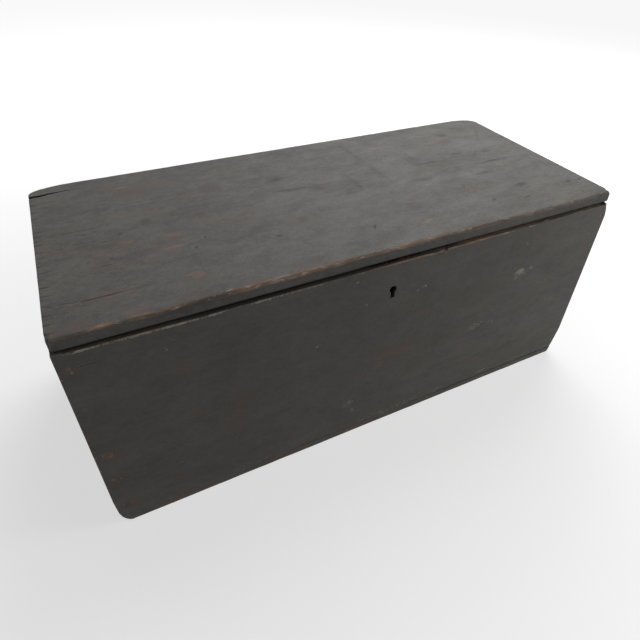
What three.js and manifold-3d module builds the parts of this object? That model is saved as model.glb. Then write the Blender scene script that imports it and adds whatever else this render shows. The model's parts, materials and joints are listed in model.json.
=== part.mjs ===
// Storage chest: a painted pine box of six boards, with a hinged plank lid and a half-mortise lock.
// Millimetres, +Z up, front towards -Y, length along X. The origin is the middle of the underside.

import * as THREE from 'three';
import { mergeVertices } from 'three/addons/utils/BufferGeometryUtils.js';
import Module from 'manifold-3d';

const wasm = await Module();
wasm.setup();

// Whole chest
const chestLength = 864;
const chestDepth = 384;
const chestHeight = 363;

// Boards
const wallThickness = 18;
const endThickness = 20;
const bottomThickness = 13.4;
const lidThickness = 17.5;

// Wear and shrinkage, as measured on the old chest
const frontShrinkage = 3;
const fullHeightBlock = 11.5;
const lidSetback = 3.8;
const lidTopArris = 5;
const lidLowerArris = 3.6;
const frontArris = 2.2;
const boardArris = 1.5;
const footArris = 4;
const leftFootWear = { along: 12.5, across: 40, up: 16 };
const rightFootWear = { along: 11, across: 60, up: 58 };
const frontTopRightWear = { along: 7, across: 30, up: 20 };
const lidBackLeftWear = { along: 72, across: 24 };
const lidBackRightWear = { along: 60, across: 30 };
const lidFrontRightWear = { along: 6, across: 8 };
const lidFrontLeftWear = { along: 8, across: 10 };
const fingerHollow = { length: 138, rise: 3.5, inset: 3.2, offset: -8.6 };
const splitDepth = 8;
const splitMouth = 1.6;
const cornerSplit = { length: 50, fromBack: 30, drift: 11 };
const frontSplit = { length: 85, fromEnd: 46, fromFront: 63, drift: 2 };
const endCheckLength = 14;
const endCheckMouth = 1;
const leftEndChecksFromFront = [152, 187, 228, 262];
const rightEndChecksFromFront = [96, 204];
const edgeChip = { length: 24, inset: 5, rise: 2.6, offset: 78 };

// Clearances
const seatClearance = 0.3;
const fitClearance = 0.3;
const pinClearance = 0.1;
const knuckleClearance = 0.4;
const cutOverrun = 5;

// Cut nails
const nailLength = 50;
const nailHeadSide = 6;
const nailHeadThickness = 1.5;
const nailShankSide = 3.4;
const nailTipSide = 1.4;
const nailSet = 0.6;
const cornerNailInset = 12;
const frontNailHeightShares = [0.087, 0.278, 0.445, 0.722, 0.932];
const backNailHeightShares = [0.12, 0.37, 0.63, 0.88];
const bottomNailLength = 45;
const bottomNailLengthShares = [-0.36, 0, 0.36];

// Butt hinges
const hingeLength = 51;
const hingeInset = 140;
const leafThickness = 2.2;
const leafReach = 13.2;
const hingePinRadius = 1.6;
const knuckleCount = 5;
const lidOpenAngle = 105;
const openAngleAllowance = 2;
const hingeScrewSpacing = 30;

// Wood screws
const screwHeadRadius = 3.2;
const screwShankRadius = 1.6;
const screwTipRadius = 0.5;
const screwTipLength = 5;
const screwSlotWidth = 0.9;
const screwSlotDepth = 0.9;
const hingeScrewLength = 14;
const lockScrewLength = 12;

// Lock
const lockOffset = 4;
const keyDrop = 46.5;
const keyholeHeadRadius = 6;
const keyholeSlotReach = 15;
const keyholeSlotTop = 7;
const keyholeSlotFoot = 6.4;
const lockPlateWidth = 84;
const lockPlateHeight = 70;
const lockPlateThickness = 2;
const selvedgeDepth = 13.2;
const lockCaseWidth = 60;
const lockCaseDrop = 63.5;
const lockCaseDepth = 10.6;
const lockCaseSheet = 1.6;
const lockScrewMargin = 6;
const drillPinRadius = 1.6;
const drillPinReach = 7.4;
const wardRadius = 8;
const wardThickness = 1.2;
const wardHeight = 3;
const wardOpening = 70;
const caseRivetRadius = 1.8;
const caseRivetMargin = 5;

// Bolt, and the eyes that hang from the lid and that it locks
const boltThrow = 9;
const boltThickness = 3.2;
const boltAbovePin = 10;
const boltBodyHeight = 23;
const boltTailReach = 27.4;
const boltNoseHeight = 5.4;
const boltPostWidth = 4.5;
const talonWidth = 11;
const talonHeight = 5.5;
const guideStudRadius = 2;
const guideStudOffset = 8;
const guideStudAbovePin = 24;
const springThickness = 0.8;
const springWidth = 4;
const springFootLength = 8;
const springReach = 16;
const eyeSpacing = 24;
const eyeThickness = 2.6;
const eyeLegWidth = 1.3;
const eyeFootHeight = 2.4;
const eyeGap = 0.6;
const strikeLength = 60;
const strikeDepth = 15;
const strikeThickness = 1.8;
const strikeFrontMargin = 4.2;
const strikeScrewSpacing = 48;

// Smoothness of round forms
const curveSteps = 6;
const roundSides = 24;
const screwSides = 16;
const nailSides = 4;

// Places worked out from the sizes
const endX = chestLength / 2;
const frontY = -chestDepth / 2;
const backY = chestDepth / 2;
const lidUnderside = chestHeight - lidThickness;
const wallTop = lidUnderside - seatClearance;
const frontTop = lidUnderside - frontShrinkage;
const frontInnerY = frontY + wallThickness;
const backInnerY = backY - wallThickness;
const lidFrontY = frontY + lidSetback;
const knuckleRadius = hingePinRadius + pinClearance + leafThickness;
const hingeAxisY = backY - knuckleRadius;
const hingeAxisZ = lidUnderside - seatClearance / 2;
const backBevelRise = knuckleRadius * Math.tan(THREE.MathUtils.degToRad((lidOpenAngle + openAngleAllowance) / 2));
const keyZ = frontTop - keyDrop;
const lockPlateY = frontInnerY - lockPlateThickness;
const lockCaseFrontY = lockPlateY - lockCaseDepth;
const lockCaseInnerY = lockCaseFrontY + lockCaseSheet;
const lockCaseTop = frontTop - lockPlateThickness;
const lockCaseBottom = lockCaseTop - lockCaseDrop;
const boltY = (lockCaseInnerY + lockPlateY) / 2;

// Solids and how they are placed

function solidFrom(geometry) {
  const bare = geometry.clone();
  bare.deleteAttribute('normal');
  bare.deleteAttribute('uv');
  const merged = mergeVertices(bare);
  const corners = merged.index.array;
  const kept = [];
  for (let i = 0; i < corners.length; i += 3) {
    const [a, b, c] = [corners[i], corners[i + 1], corners[i + 2]];
    if (a !== b && b !== c && c !== a) kept.push(a, b, c);
  }
  return new wasm.Manifold(new wasm.Mesh({
    numProp: 3,
    vertProperties: new Float32Array(merged.attributes.position.array),
    triVerts: new Uint32Array(kept),
  }));
}

function geometryFrom(solid) {
  const mesh = solid.getMesh();
  const geometry = new THREE.BufferGeometry();
  geometry.setAttribute('position', new THREE.BufferAttribute(mesh.vertProperties, 3));
  geometry.setIndex(new THREE.BufferAttribute(mesh.triVerts, 1));
  geometry.computeVertexNormals();
  return geometry;
}

function block([x0, x1], [y0, y1], [z0, z1]) {
  const geometry = new THREE.BoxGeometry(x1 - x0, y1 - y0, z1 - z0);
  geometry.translate((x0 + x1) / 2, (y0 + y1) / 2, (z0 + z1) / 2);
  return solidFrom(geometry);
}

// A shape drawn across an axis and pushed along it. Across X it is drawn in y and z, across Y in x and z.
function pushed(shape, axis, from, to) {
  const geometry = new THREE.ExtrudeGeometry(shape, {
    depth: to - from,
    bevelEnabled: false,
    curveSegments: curveSteps,
  });
  const turn = new THREE.Matrix4();
  const [x, y, z] = [new THREE.Vector3(1, 0, 0), new THREE.Vector3(0, 1, 0), new THREE.Vector3(0, 0, 1)];
  if (axis === 'x') turn.makeBasis(y, z, x).setPosition(from, 0, 0);
  if (axis === 'y') turn.makeBasis(x, z, y.clone().negate()).setPosition(0, to, 0);
  if (axis === 'z') turn.makeBasis(x, y, z).setPosition(0, 0, from);
  geometry.applyMatrix4(turn);
  return solidFrom(geometry);
}

// An outline of corners [u, v, reach in, reach out], each rounded as far as it reaches along its sides.
function outline(corners) {
  const shape = new THREE.Shape();
  corners.forEach(([u, v, reachIn = 0, reachOut = reachIn], i) => {
    const corner = new THREE.Vector2(u, v);
    const before = corners[(i + corners.length - 1) % corners.length];
    const after = corners[(i + 1) % corners.length];
    const towards = ([a, b], reach) => new THREE.Vector2(a - u, b - v).setLength(reach).add(corner);
    const start = towards(before, reachIn);
    if (i === 0) shape.moveTo(start.x, start.y);
    else shape.lineTo(start.x, start.y);
    if (reachIn > 0 || reachOut > 0) {
      const end = towards(after, reachOut);
      shape.quadraticCurveTo(u, v, end.x, end.y);
    }
  });
  shape.closePath();
  return shape;
}

function rectangle([u0, u1], [v0, v1], radius = 0) {
  return outline([[u0, v0, radius], [u1, v0, radius], [u1, v1, radius], [u0, v1, radius]]);
}

// A turned piece whose profile runs up its axis, aimed so that its top faces a direction.
function turned(profile, sides, facing, at) {
  const geometry = new THREE.LatheGeometry(profile.map(([r, y]) => new THREE.Vector2(r, y)), sides);
  geometry.rotateY(Math.PI / sides);
  const turn = new THREE.Quaternion().setFromUnitVectors(new THREE.Vector3(0, 1, 0), facing);
  geometry.applyQuaternion(turn);
  geometry.translate(at.x, at.y, at.z);
  return solidFrom(geometry);
}

function rod(radius, axis, from, to, u, v) {
  const facing = axis === 'x' ? new THREE.Vector3(1, 0, 0) : new THREE.Vector3(0, 1, 0);
  const at = axis === 'x' ? new THREE.Vector3(from, u, v) : new THREE.Vector3(u, from, v);
  return turned([[0, 0], [radius, 0], [radius, to - from], [0, to - from]], roundSides, facing, at);
}

// What lies outside a rounded arris: the corner, the way out of it and how far the rounding reaches.
function arrisCut([u, v], [outU, outV], reach) {
  const shape = new THREE.Shape();
  shape.moveTo(u, v - outV * reach);
  shape.quadraticCurveTo(u, v, u - outU * reach, v);
  shape.lineTo(u - outU * reach, v + outV * cutOverrun);
  shape.lineTo(u + outU * cutOverrun, v + outV * cutOverrun);
  shape.lineTo(u + outU * cutOverrun, v - outV * reach);
  shape.closePath();
  return shape;
}

// What a flat cut takes off a corner: the corner, the way out of it and how far the cut reaches each way.
function cornerCut(corner, ways, { along, across, up }) {
  const reaches = [along, across, up];
  const tip = corner.map((place, axis) => place + ways[axis] * cutOverrun);
  const growth = reaches.reduce((sum, reach) => sum + cutOverrun / reach, 1);
  const feet = reaches.map((reach, axis) => {
    const foot = [...tip];
    foot[axis] -= ways[axis] * reach * growth;
    return foot;
  });
  return wasm.Manifold.hull([tip, ...feet]);
}

const minusAll = (solid, cuts) => cuts.reduce((left, cut) => left.subtract(cut), solid);
const joinAll = (solids) => solids.reduce((left, next) => left.add(next));

// Nails, square in section, with the head's face at their place. Each is set a little below the board's face.

function nailSolid({ at, facing, length }, grow = 0, above = 0) {
  const corner = (side) => side / 2 * Math.SQRT2 + grow * Math.SQRT2;
  const profile = [
    [0, -length - grow],
    [corner(nailTipSide), -length - grow],
    [corner(nailShankSide), -nailHeadThickness - grow],
    [corner(nailHeadSide), -nailHeadThickness - grow],
    [corner(nailHeadSide), above],
    [0, above],
  ];
  return turned(profile, nailSides, facing, at);
}

function cornerNails(wall, y, facingY, heightShares, top) {
  const nails = [];
  for (const [end, side] of [['left', -1], ['right', 1]]) {
    heightShares.forEach((share, i) => {
      const z = bottomThickness + share * (top - bottomThickness);
      nails.push({
        name: `${wall}_${end}_nail_${i + 1}`,
        at: new THREE.Vector3(side * (endX - cornerNailInset), y - facingY * nailSet, z),
        facing: new THREE.Vector3(0, facingY, 0),
        length: nailLength,
      });
    });
  }
  return nails;
}

function bottomNails(wall, y) {
  return bottomNailLengthShares.map((share, i) => ({
    name: `bottom_${wall}_nail_${i + 1}`,
    at: new THREE.Vector3(share * chestLength, y, nailSet),
    facing: new THREE.Vector3(0, 0, -1),
    length: bottomNailLength,
  }));
}

// Wood screws, countersunk, with the head's face at their place

function screwSolid({ at, facing, length }, grow = 0) {
  const coneHeight = screwHeadRadius - screwShankRadius;
  const profile = [
    [0, -length - grow],
    [screwTipRadius + grow, -length - grow],
    [screwShankRadius + grow, -length + screwTipLength],
    [screwShankRadius + grow, -coneHeight],
    [screwHeadRadius + grow, grow],
    [0, grow],
  ];
  return turned(profile, screwSides, facing, at);
}

function screwPiece(screw) {
  const head = screwHeadRadius + cutOverrun;
  const slot = new THREE.BoxGeometry(2 * head, 2 * screwSlotDepth, screwSlotWidth);
  slot.applyQuaternion(new THREE.Quaternion().setFromUnitVectors(new THREE.Vector3(0, 1, 0), screw.facing));
  slot.translate(screw.at.x, screw.at.y, screw.at.z);
  return screwSolid(screw).subtract(solidFrom(slot));
}

function hingeScrews(side, centreX) {
  const up = new THREE.Vector3(0, 0, 1);
  const plateY = hingeAxisY - (leafReach + knuckleRadius + knuckleClearance) / 2;
  const screws = [];
  for (const [leaf, facing, z] of [['body', up, wallTop], ['lid', up.clone().negate(), lidUnderside]]) {
    [-1, 1].forEach((end, i) => {
      screws.push({
        name: `${side}_hinge_${leaf}_screw_${i + 1}`,
        at: new THREE.Vector3(centreX + end * hingeScrewSpacing / 2, plateY, z),
        facing,
        length: hingeScrewLength,
      });
    });
  }
  return screws;
}

function lockScrews() {
  const rows = [['upper', frontTop - lockPlateThickness - lockScrewMargin],
    ['lower', frontTop - lockPlateHeight + lockScrewMargin]];
  const screws = [];
  for (const [row, z] of rows) {
    for (const [end, side] of [['left', -1], ['right', 1]]) {
      screws.push({
        name: `lock_${row}_${end}_screw`,
        at: new THREE.Vector3(lockOffset + side * (lockPlateWidth / 2 - lockScrewMargin), frontInnerY, z),
        facing: new THREE.Vector3(0, 1, 0),
        length: lockScrewLength,
      });
    }
  }
  return screws;
}

function strikeScrews() {
  return [['left', -1], ['right', 1]].map(([end, side]) => ({
    name: `strike_${end}_screw`,
    at: new THREE.Vector3(lockOffset + side * strikeScrewSpacing / 2,
      lidFrontY + strikeFrontMargin + strikeDepth / 2, lidUnderside),
    facing: new THREE.Vector3(0, 0, -1),
    length: lockScrewLength,
  }));
}

const frontNails = cornerNails('front', frontY, -1, frontNailHeightShares, frontTop);
const backNails = cornerNails('back', backY, 1, backNailHeightShares, wallTop);
const underNails = [
  ...bottomNails('front', frontY + wallThickness / 2),
  ...bottomNails('back', backY - wallThickness / 2),
];
const hinges = [['left', -endX + hingeInset], ['right', endX - hingeInset]];
const leafScrews = hinges.flatMap(([side, x]) => hingeScrews(side, x));
const bodyLeafScrews = leafScrews.filter((screw) => screw.facing.z > 0);
const lidLeafScrews = leafScrews.filter((screw) => screw.facing.z < 0);
const nailHoles = (nails) => nails.map((nail) => nailSolid(nail, fitClearance, nailSet + cutOverrun));
const screwHoles = (screws) => screws.map((screw) => screwSolid(screw, fitClearance));

// Hinge leaves and the recesses that they lie in

function knuckleRange(centreX, i) {
  const pitch = hingeLength / knuckleCount;
  const start = centreX - hingeLength / 2 + i * pitch;
  const shy = fitClearance / 2;
  return [start + (i === 0 ? 0 : shy), start + pitch - (i === knuckleCount - 1 ? 0 : shy)];
}

function hingeLeaf(centreX, face, thicknessUp, firstKnuckle, screws) {
  const heights = thicknessUp ? [face, face + leafThickness] : [face - leafThickness, face];
  const plateY = [hingeAxisY - leafReach, hingeAxisY - knuckleRadius - knuckleClearance];
  const pieces = [block([centreX - hingeLength / 2, centreX + hingeLength / 2], plateY, heights)];
  for (let i = firstKnuckle; i < knuckleCount; i += 2) {
    const [x0, x1] = knuckleRange(centreX, i);
    pieces.push(rod(knuckleRadius, 'x', x0, x1, hingeAxisY, hingeAxisZ));
    pieces.push(block([x0, x1], [plateY[0], hingeAxisY], heights));
  }
  const bore = rod(hingePinRadius + pinClearance, 'x', centreX - hingeLength, centreX + hingeLength,
    hingeAxisY, hingeAxisZ);
  return minusAll(joinAll(pieces), [bore, ...screwHoles(screws)]);
}

function hingeRecess(centreX) {
  const half = hingeLength / 2 + fitClearance;
  const thick = leafThickness + seatClearance / 2 + fitClearance;
  const leaf = block([centreX - half, centreX + half], [hingeAxisY - leafReach - fitClearance, hingeAxisY],
    [hingeAxisZ - thick, hingeAxisZ + thick]);
  const barrel = rod(knuckleRadius + knuckleClearance, 'x', centreX - half, centreX + half, hingeAxisY, hingeAxisZ);
  return leaf.add(barrel);
}

const hingeRecesses = hinges.map(([, x]) => hingeRecess(x));

// Lock recesses and the keyhole

function keyholeCut(fromY, toY) {
  const shape = new THREE.Shape();
  const slotAngle = Math.asin(keyholeSlotTop / 2 / keyholeHeadRadius);
  const down = -Math.PI / 2;
  shape.absarc(lockOffset, keyZ, keyholeHeadRadius, down + slotAngle, down + 2 * Math.PI - slotAngle, false);
  shape.lineTo(lockOffset - keyholeSlotFoot / 2, keyZ - keyholeSlotReach);
  shape.lineTo(lockOffset + keyholeSlotFoot / 2, keyZ - keyholeSlotReach);
  shape.closePath();
  return pushed(shape, 'y', fromY, toY);
}

function lockRecess() {
  const top = frontTop + cutOverrun;
  const around = (width) => [lockOffset - width / 2 - fitClearance, lockOffset + width / 2 + fitClearance];
  const back = frontInnerY + cutOverrun;
  const plate = block(around(lockPlateWidth), [lockPlateY - fitClearance, back],
    [frontTop - lockPlateHeight - fitClearance, top]);
  const lockCase = block(around(lockCaseWidth), [lockCaseFrontY - fitClearance, back],
    [lockCaseBottom - fitClearance, top]);
  const selvedge = block(around(lockPlateWidth), [frontInnerY - selvedgeDepth - fitClearance, back],
    [lockCaseTop - fitClearance, top]);
  return joinAll([plate, lockCase, selvedge]);
}

// Boards of the body

const wholeLength = [-endX, endX];
const wholeDepth = [frontY, backY];
const pastEnds = [-endX - cutOverrun, endX + cutOverrun];

// Knocks that have worn the front corners across the joints of the boards
const leftKnocks = [cornerCut([-endX, frontY, 0], [-1, -1, -1], leftFootWear)];
const rightKnocks = [
  cornerCut([endX, frontY, 0], [1, -1, -1], rightFootWear),
  cornerCut([endX, frontY, frontTop], [1, -1, 1], frontTopRightWear),
];

// The front board has shrunk below the end boards, but for one short stretch at its left end.
function frontBoard() {
  const blockEnd = -endX + fullHeightBlock;
  const face = outline([
    [-endX, bottomThickness], [endX, bottomThickness], [endX, frontTop, boardArris],
    [blockEnd, frontTop], [blockEnd, wallTop, boardArris], [-endX, wallTop, boardArris],
  ]);
  const plan = rectangle(wholeLength, [frontY, frontInnerY], boardArris);
  const board = pushed(face, 'y', frontY, frontInnerY)
    .intersect(pushed(plan, 'z', bottomThickness, wallTop));
  const topArris = arrisCut([frontY, frontTop], [-1, 1], frontArris);
  const blockArris = arrisCut([frontY, wallTop], [-1, 1], boardArris);
  return minusAll(board, [
    pushed(topArris, 'x', blockEnd, pastEnds[1]),
    pushed(blockArris, 'x', pastEnds[0], blockEnd + cutOverrun),
    scoop(edgeChip, frontY + frontArris / 2, frontTop, screwSides),
    ...leftKnocks,
    ...rightKnocks,
    lockRecess(),
    keyholeCut(frontY - cutOverrun, frontInnerY + cutOverrun),
    ...screwHoles(lockScrews()),
    ...nailHoles(frontNails),
    ...nailHoles(underNails),
  ]);
}

// The back board and the lid share a bevelled joint whose point is the hinge axis. When the lid stands
// just past upright the two bevels all but meet, and that is where it stops.
function backBevel(outV) {
  return outline([
    [hingeAxisY, hingeAxisZ], [backY + cutOverrun, hingeAxisZ],
    [backY + cutOverrun, hingeAxisZ + outV * backBevelRise * (knuckleRadius + cutOverrun) / knuckleRadius],
  ]);
}

function backBoard() {
  const plan = rectangle(wholeLength, [backInnerY, backY], boardArris);
  const board = pushed(plan, 'z', bottomThickness, wallTop);
  return minusAll(board, [
    pushed(backBevel(-1), 'x', ...pastEnds),
    ...hingeRecesses,
    ...screwHoles(bodyLeafScrews),
    ...nailHoles(backNails),
    ...nailHoles(underNails),
  ]);
}

function endBoard(side) {
  const outer = side * endX;
  const inner = side * (endX - endThickness);
  const across = [Math.min(outer, inner), Math.max(outer, inner)];
  const board = block(across, [frontInnerY, backInnerY], [bottomThickness, wallTop]);
  const topArris = pushed(arrisCut([outer, wallTop], [side, 1], boardArris), 'y', frontY, backY);
  const knocks = side < 0 ? leftKnocks : rightKnocks;
  return minusAll(board, [topArris, ...knocks, ...nailHoles(frontNails), ...nailHoles(backNails)]);
}

function bottomBoard() {
  const face = outline([
    [-endX, 0, footArris], [endX, 0, footArris], [endX, bottomThickness], [-endX, bottomThickness],
  ]);
  const plan = rectangle(wholeLength, wholeDepth, boardArris);
  const board = pushed(face, 'y', ...wholeDepth).intersect(pushed(plan, 'z', 0, bottomThickness));
  const lowArrises = [[frontY, -1], [backY, 1]].map(([y, out]) =>
    pushed(arrisCut([y, 0], [out, -1], boardArris), 'x', ...pastEnds));
  return minusAll(board, [...lowArrises, ...leftKnocks, ...rightKnocks, ...nailHoles(underNails)]);
}

// Strike plate under the lid: two eyes hang from it into the lock

const strikeFrontY = lidFrontY + strikeFrontMargin;
const strikeSpanY = [strikeFrontY, strikeFrontY + strikeDepth];
const strikeSpanX = [lockOffset - strikeLength / 2, lockOffset + strikeLength / 2];
const boltNoseTop = lockCaseTop - strikeThickness;
const boltNoseFoot = boltNoseTop - boltNoseHeight;
const eyeHole = {
  y: [boltY - boltThickness / 2 - knuckleClearance, boltY + boltThickness / 2 + knuckleClearance],
  z: [boltNoseFoot - eyeGap, boltNoseTop + eyeGap],
};
const eyeOuterY = [eyeHole.y[0] - eyeLegWidth, eyeHole.y[1] + eyeLegWidth];
const eyeCentres = [-1, 1].map((side) => lockOffset + side * eyeSpacing / 2);
const eyeSpanX = (centre) => [centre - eyeThickness / 2, centre + eyeThickness / 2];

function strikePlate() {
  const plate = block(strikeSpanX, strikeSpanY, [lidUnderside, lidUnderside + strikeThickness]);
  const eyes = eyeCentres.map((centre) => {
    const plateWithin = lidUnderside + strikeThickness / 2;
    const outer = rectangle(eyeOuterY, [eyeHole.z[0] - eyeFootHeight, plateWithin], eyeLegWidth);
    const hole = block([centre - eyeThickness, centre + eyeThickness], eyeHole.y, eyeHole.z);
    return pushed(outer, 'x', ...eyeSpanX(centre)).subtract(hole);
  });
  return minusAll(joinAll([plate, ...eyes]), screwHoles(strikeScrews()));
}

function strikeRecess() {
  const grown = ([low, high]) => [low - fitClearance, high + fitClearance];
  return block(grown(strikeSpanX), grown(strikeSpanY),
    [lidUnderside - cutOverrun, lidUnderside + strikeThickness + fitClearance]);
}

// The lid: one plank, worn at its corners, with a hollow where fingers have lifted it

function lidOutline() {
  const corner = (x, y, { along, across }, alongFirst) =>
    (alongFirst ? [x, y, along, across] : [x, y, across, along]);
  return outline([
    corner(-endX, lidFrontY, lidFrontLeftWear, false),
    corner(endX, lidFrontY, lidFrontRightWear, true),
    corner(endX, backY, lidBackRightWear, false),
    corner(-endX, backY, lidBackLeftWear, true),
  ]);
}

// A split in the top face: a wedge from its mouth to its tip, tilted along the grain.
function split(from, to, mouth = splitMouth) {
  const across = new THREE.Vector2().subVectors(to, from).rotateAround(new THREE.Vector2(), Math.PI / 2);
  across.setLength(mouth / 2);
  const [a, b] = [from.clone().add(across), from.clone().sub(across)];
  const wedge = outline([[a.x, a.y], [b.x, b.y], [to.x, to.y]]);
  return pushed(wedge, 'z', chestHeight - splitDepth, chestHeight + cutOverrun);
}

function lidSplits() {
  const cornerY = backY - cornerSplit.fromBack;
  const frontSplitY = frontY + frontSplit.fromFront;
  const frontSplitX = -endX + frontSplit.fromEnd;
  const endChecks = [[-1, leftEndChecksFromFront], [1, rightEndChecksFromFront]].flatMap(([side, places]) =>
    places.map((fromFront) => split(new THREE.Vector2(side * (endX + boardArris), frontY + fromFront),
      new THREE.Vector2(side * (endX - endCheckLength), frontY + fromFront), endCheckMouth)));
  return [
    split(new THREE.Vector2(-endX - boardArris, cornerY),
      new THREE.Vector2(-endX + cornerSplit.length, cornerY + cornerSplit.drift)),
    split(new THREE.Vector2(frontSplitX, frontSplitY),
      new THREE.Vector2(frontSplitX + frontSplit.length, frontSplitY + frontSplit.drift)),
    ...endChecks,
  ];
}

// A shallow scoop out of an arris, longest along the grain.
function scoop({ length, inset, rise, offset }, y, z, steps) {
  const geometry = new THREE.SphereGeometry(1, 2 * steps, steps / 2);
  geometry.rotateZ(Math.PI / 2);
  geometry.scale(length / 2, inset, rise);
  geometry.translate(offset, y, z);
  return solidFrom(geometry);
}

function lidBoard() {
  const board = pushed(lidOutline(), 'z', lidUnderside, chestHeight);
  const arrises = [
    pushed(arrisCut([lidFrontY, chestHeight], [-1, 1], lidTopArris), 'x', ...pastEnds),
    pushed(arrisCut([lidFrontY, lidUnderside], [-1, -1], lidLowerArris), 'x', ...pastEnds),
    pushed(arrisCut([backY, chestHeight], [1, 1], boardArris), 'x', ...pastEnds),
    ...[-1, 1].map((side) => pushed(arrisCut([side * endX, chestHeight], [side, 1], boardArris), 'y', ...wholeDepth)),
  ];
  return minusAll(board, [
    ...arrises,
    pushed(backBevel(1), 'x', ...pastEnds),
    scoop(fingerHollow, lidFrontY, lidUnderside, roundSides),
    ...lidSplits(),
    strikeRecess(),
    ...hingeRecesses,
    ...screwHoles(lidLeafScrews),
    ...screwHoles(strikeScrews()),
  ]);
}

// The lock, let into the inside of the front board

const aroundLock = (width) => [lockOffset - width / 2, lockOffset + width / 2];

const rivetPlaces = [['left', -1], ['right', 1]].map(([end, side]) => ({
  name: `lock_case_${end}_rivet`,
  x: lockOffset + side * (lockCaseWidth / 2 - lockCaseSheet - caseRivetMargin),
  z: lockCaseBottom + lockCaseSheet + caseRivetMargin,
}));

function rivetHoles() {
  return rivetPlaces.map(({ x, z }) =>
    rod(caseRivetRadius + fitClearance, 'y', lockCaseFrontY - cutOverrun, frontInnerY + cutOverrun, x, z));
}

const guideStudPlace = { x: lockOffset + guideStudOffset, z: keyZ + guideStudAbovePin };

// Backplate and selvedge are one bent plate. The eyes of the strike pass through the selvedge's slots.
function lockPlate() {
  const section = outline([
    [frontInnerY, frontTop - lockPlateHeight], [frontInnerY, frontTop],
    [frontInnerY - selvedgeDepth, frontTop], [frontInnerY - selvedgeDepth, lockCaseTop],
    [lockPlateY, lockCaseTop], [lockPlateY, frontTop - lockPlateHeight],
  ]);
  const slots = eyeCentres.map((centre) =>
    block([centre - eyeThickness, centre + eyeThickness], [lockCaseInnerY, lockPlateY],
      [lockCaseTop - cutOverrun, frontTop + cutOverrun]));
  const through = [lockPlateY - cutOverrun, frontInnerY + cutOverrun];
  const pinHole = rod(drillPinRadius + fitClearance, 'y', ...through, lockOffset, keyZ);
  const studHole = rod(guideStudRadius + fitClearance, 'y', ...through, guideStudPlace.x, guideStudPlace.z);
  return minusAll(pushed(section, 'x', ...aroundLock(lockPlateWidth)),
    [...slots, pinHole, studHole, ...rivetHoles(), ...screwHoles(lockScrews())]);
}

// The case is a tray, open towards the backplate and under the selvedge.
function lockCase() {
  const tray = block(aroundLock(lockCaseWidth), [lockCaseFrontY, lockPlateY], [lockCaseBottom, lockCaseTop]);
  const hollow = block(aroundLock(lockCaseWidth - 2 * lockCaseSheet), [lockCaseInnerY, lockPlateY + cutOverrun],
    [lockCaseBottom + lockCaseSheet, lockCaseTop + cutOverrun]);
  return minusAll(tray, [hollow, keyholeCut(lockCaseFrontY - cutOverrun, lockCaseInnerY + cutOverrun), ...rivetHoles()]);
}

// A thin half ring round the drill pin, for the key's slot to pass.
function lockWard() {
  const half = THREE.MathUtils.degToRad(180 - wardOpening / 2);
  const up = Math.PI / 2;
  const shape = new THREE.Shape();
  shape.absarc(lockOffset, keyZ, wardRadius + wardThickness, up - half, up + half, false);
  shape.absarc(lockOffset, keyZ, wardRadius, up + half, up - half, true);
  shape.closePath();
  return pushed(shape, 'y', lockPlateY - wardHeight, lockPlateY);
}

// The bolt, withdrawn: two hooks rise from its body, each with its nose short of an eye.
function lockBolt() {
  const foot = keyZ + boltAbovePin;
  const bodyTop = foot + boltBodyHeight;
  const noseTip = (centre) => centre - eyeThickness / 2 - eyeGap;
  const postRight = (centre) => noseTip(centre) - boltThrow;
  const [first, second] = eyeCentres;
  const left = lockOffset - boltTailReach;
  const right = lockOffset + boltTailReach - boltThrow;
  const notch = [lockOffset - boltThrow / 2 - talonWidth / 2, lockOffset - boltThrow / 2 + talonWidth / 2];
  const hook = (centre) => [
    [noseTip(centre), boltNoseFoot], [noseTip(centre), boltNoseTop],
    [postRight(centre) - boltPostWidth, boltNoseTop], [postRight(centre) - boltPostWidth, bodyTop],
  ];
  const face = outline([
    [left, foot], [notch[0], foot], [notch[0], foot + talonHeight], [notch[1], foot + talonHeight],
    [notch[1], foot], [right, foot], [right, bodyTop],
    [postRight(second), bodyTop], [postRight(second), boltNoseFoot], ...hook(second),
    [postRight(first), bodyTop], [postRight(first), boltNoseFoot], ...hook(first).slice(0, -1),
  ]);
  const slotHalf = guideStudRadius + fitClearance;
  const slot = rectangle([guideStudPlace.x - boltThrow - slotHalf, guideStudPlace.x + slotHalf],
    [guideStudPlace.z - slotHalf, guideStudPlace.z + slotHalf], slotHalf);
  const faceY = [boltY - boltThickness / 2, boltY + boltThickness / 2];
  return pushed(face, 'y', ...faceY)
    .subtract(pushed(slot, 'y', faceY[0] - cutOverrun, faceY[1] + cutOverrun));
}

// A bent strip that stands against the case's side and bears up on the bolt.
function lockSpring() {
  const wall = lockOffset - lockCaseWidth / 2 + lockCaseSheet + fitClearance;
  const top = keyZ + boltAbovePin - fitClearance;
  const bend = top - springReach / 2;
  const thin = springThickness;
  const shape = new THREE.Shape();
  shape.moveTo(wall, bend - springFootLength);
  shape.lineTo(wall, bend);
  shape.quadraticCurveTo(wall, top, wall + springReach, top);
  shape.lineTo(wall + springReach, top - thin);
  shape.quadraticCurveTo(wall + thin, top - thin, wall + thin, bend);
  shape.lineTo(wall + thin, bend - springFootLength);
  shape.closePath();
  return pushed(shape, 'y', boltY - springWidth / 2, boltY + springWidth / 2);
}

// Finishes
const paint = { color: 0x3b3a37, roughness: 0.72, metalness: 0 };
const iron = { color: 0x2e2a27, roughness: 0.6, metalness: 0.85 };
const wornIron = { color: 0x5a544d, roughness: 0.45, metalness: 0.9 };

// The chest, piece by piece

const chest = new THREE.Group();

function addPiece(parent, name, solid, finish) {
  const mesh = new THREE.Mesh(geometryFrom(solid), new THREE.MeshStandardMaterial(finish));
  mesh.name = name;
  parent.add(mesh);
}

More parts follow.
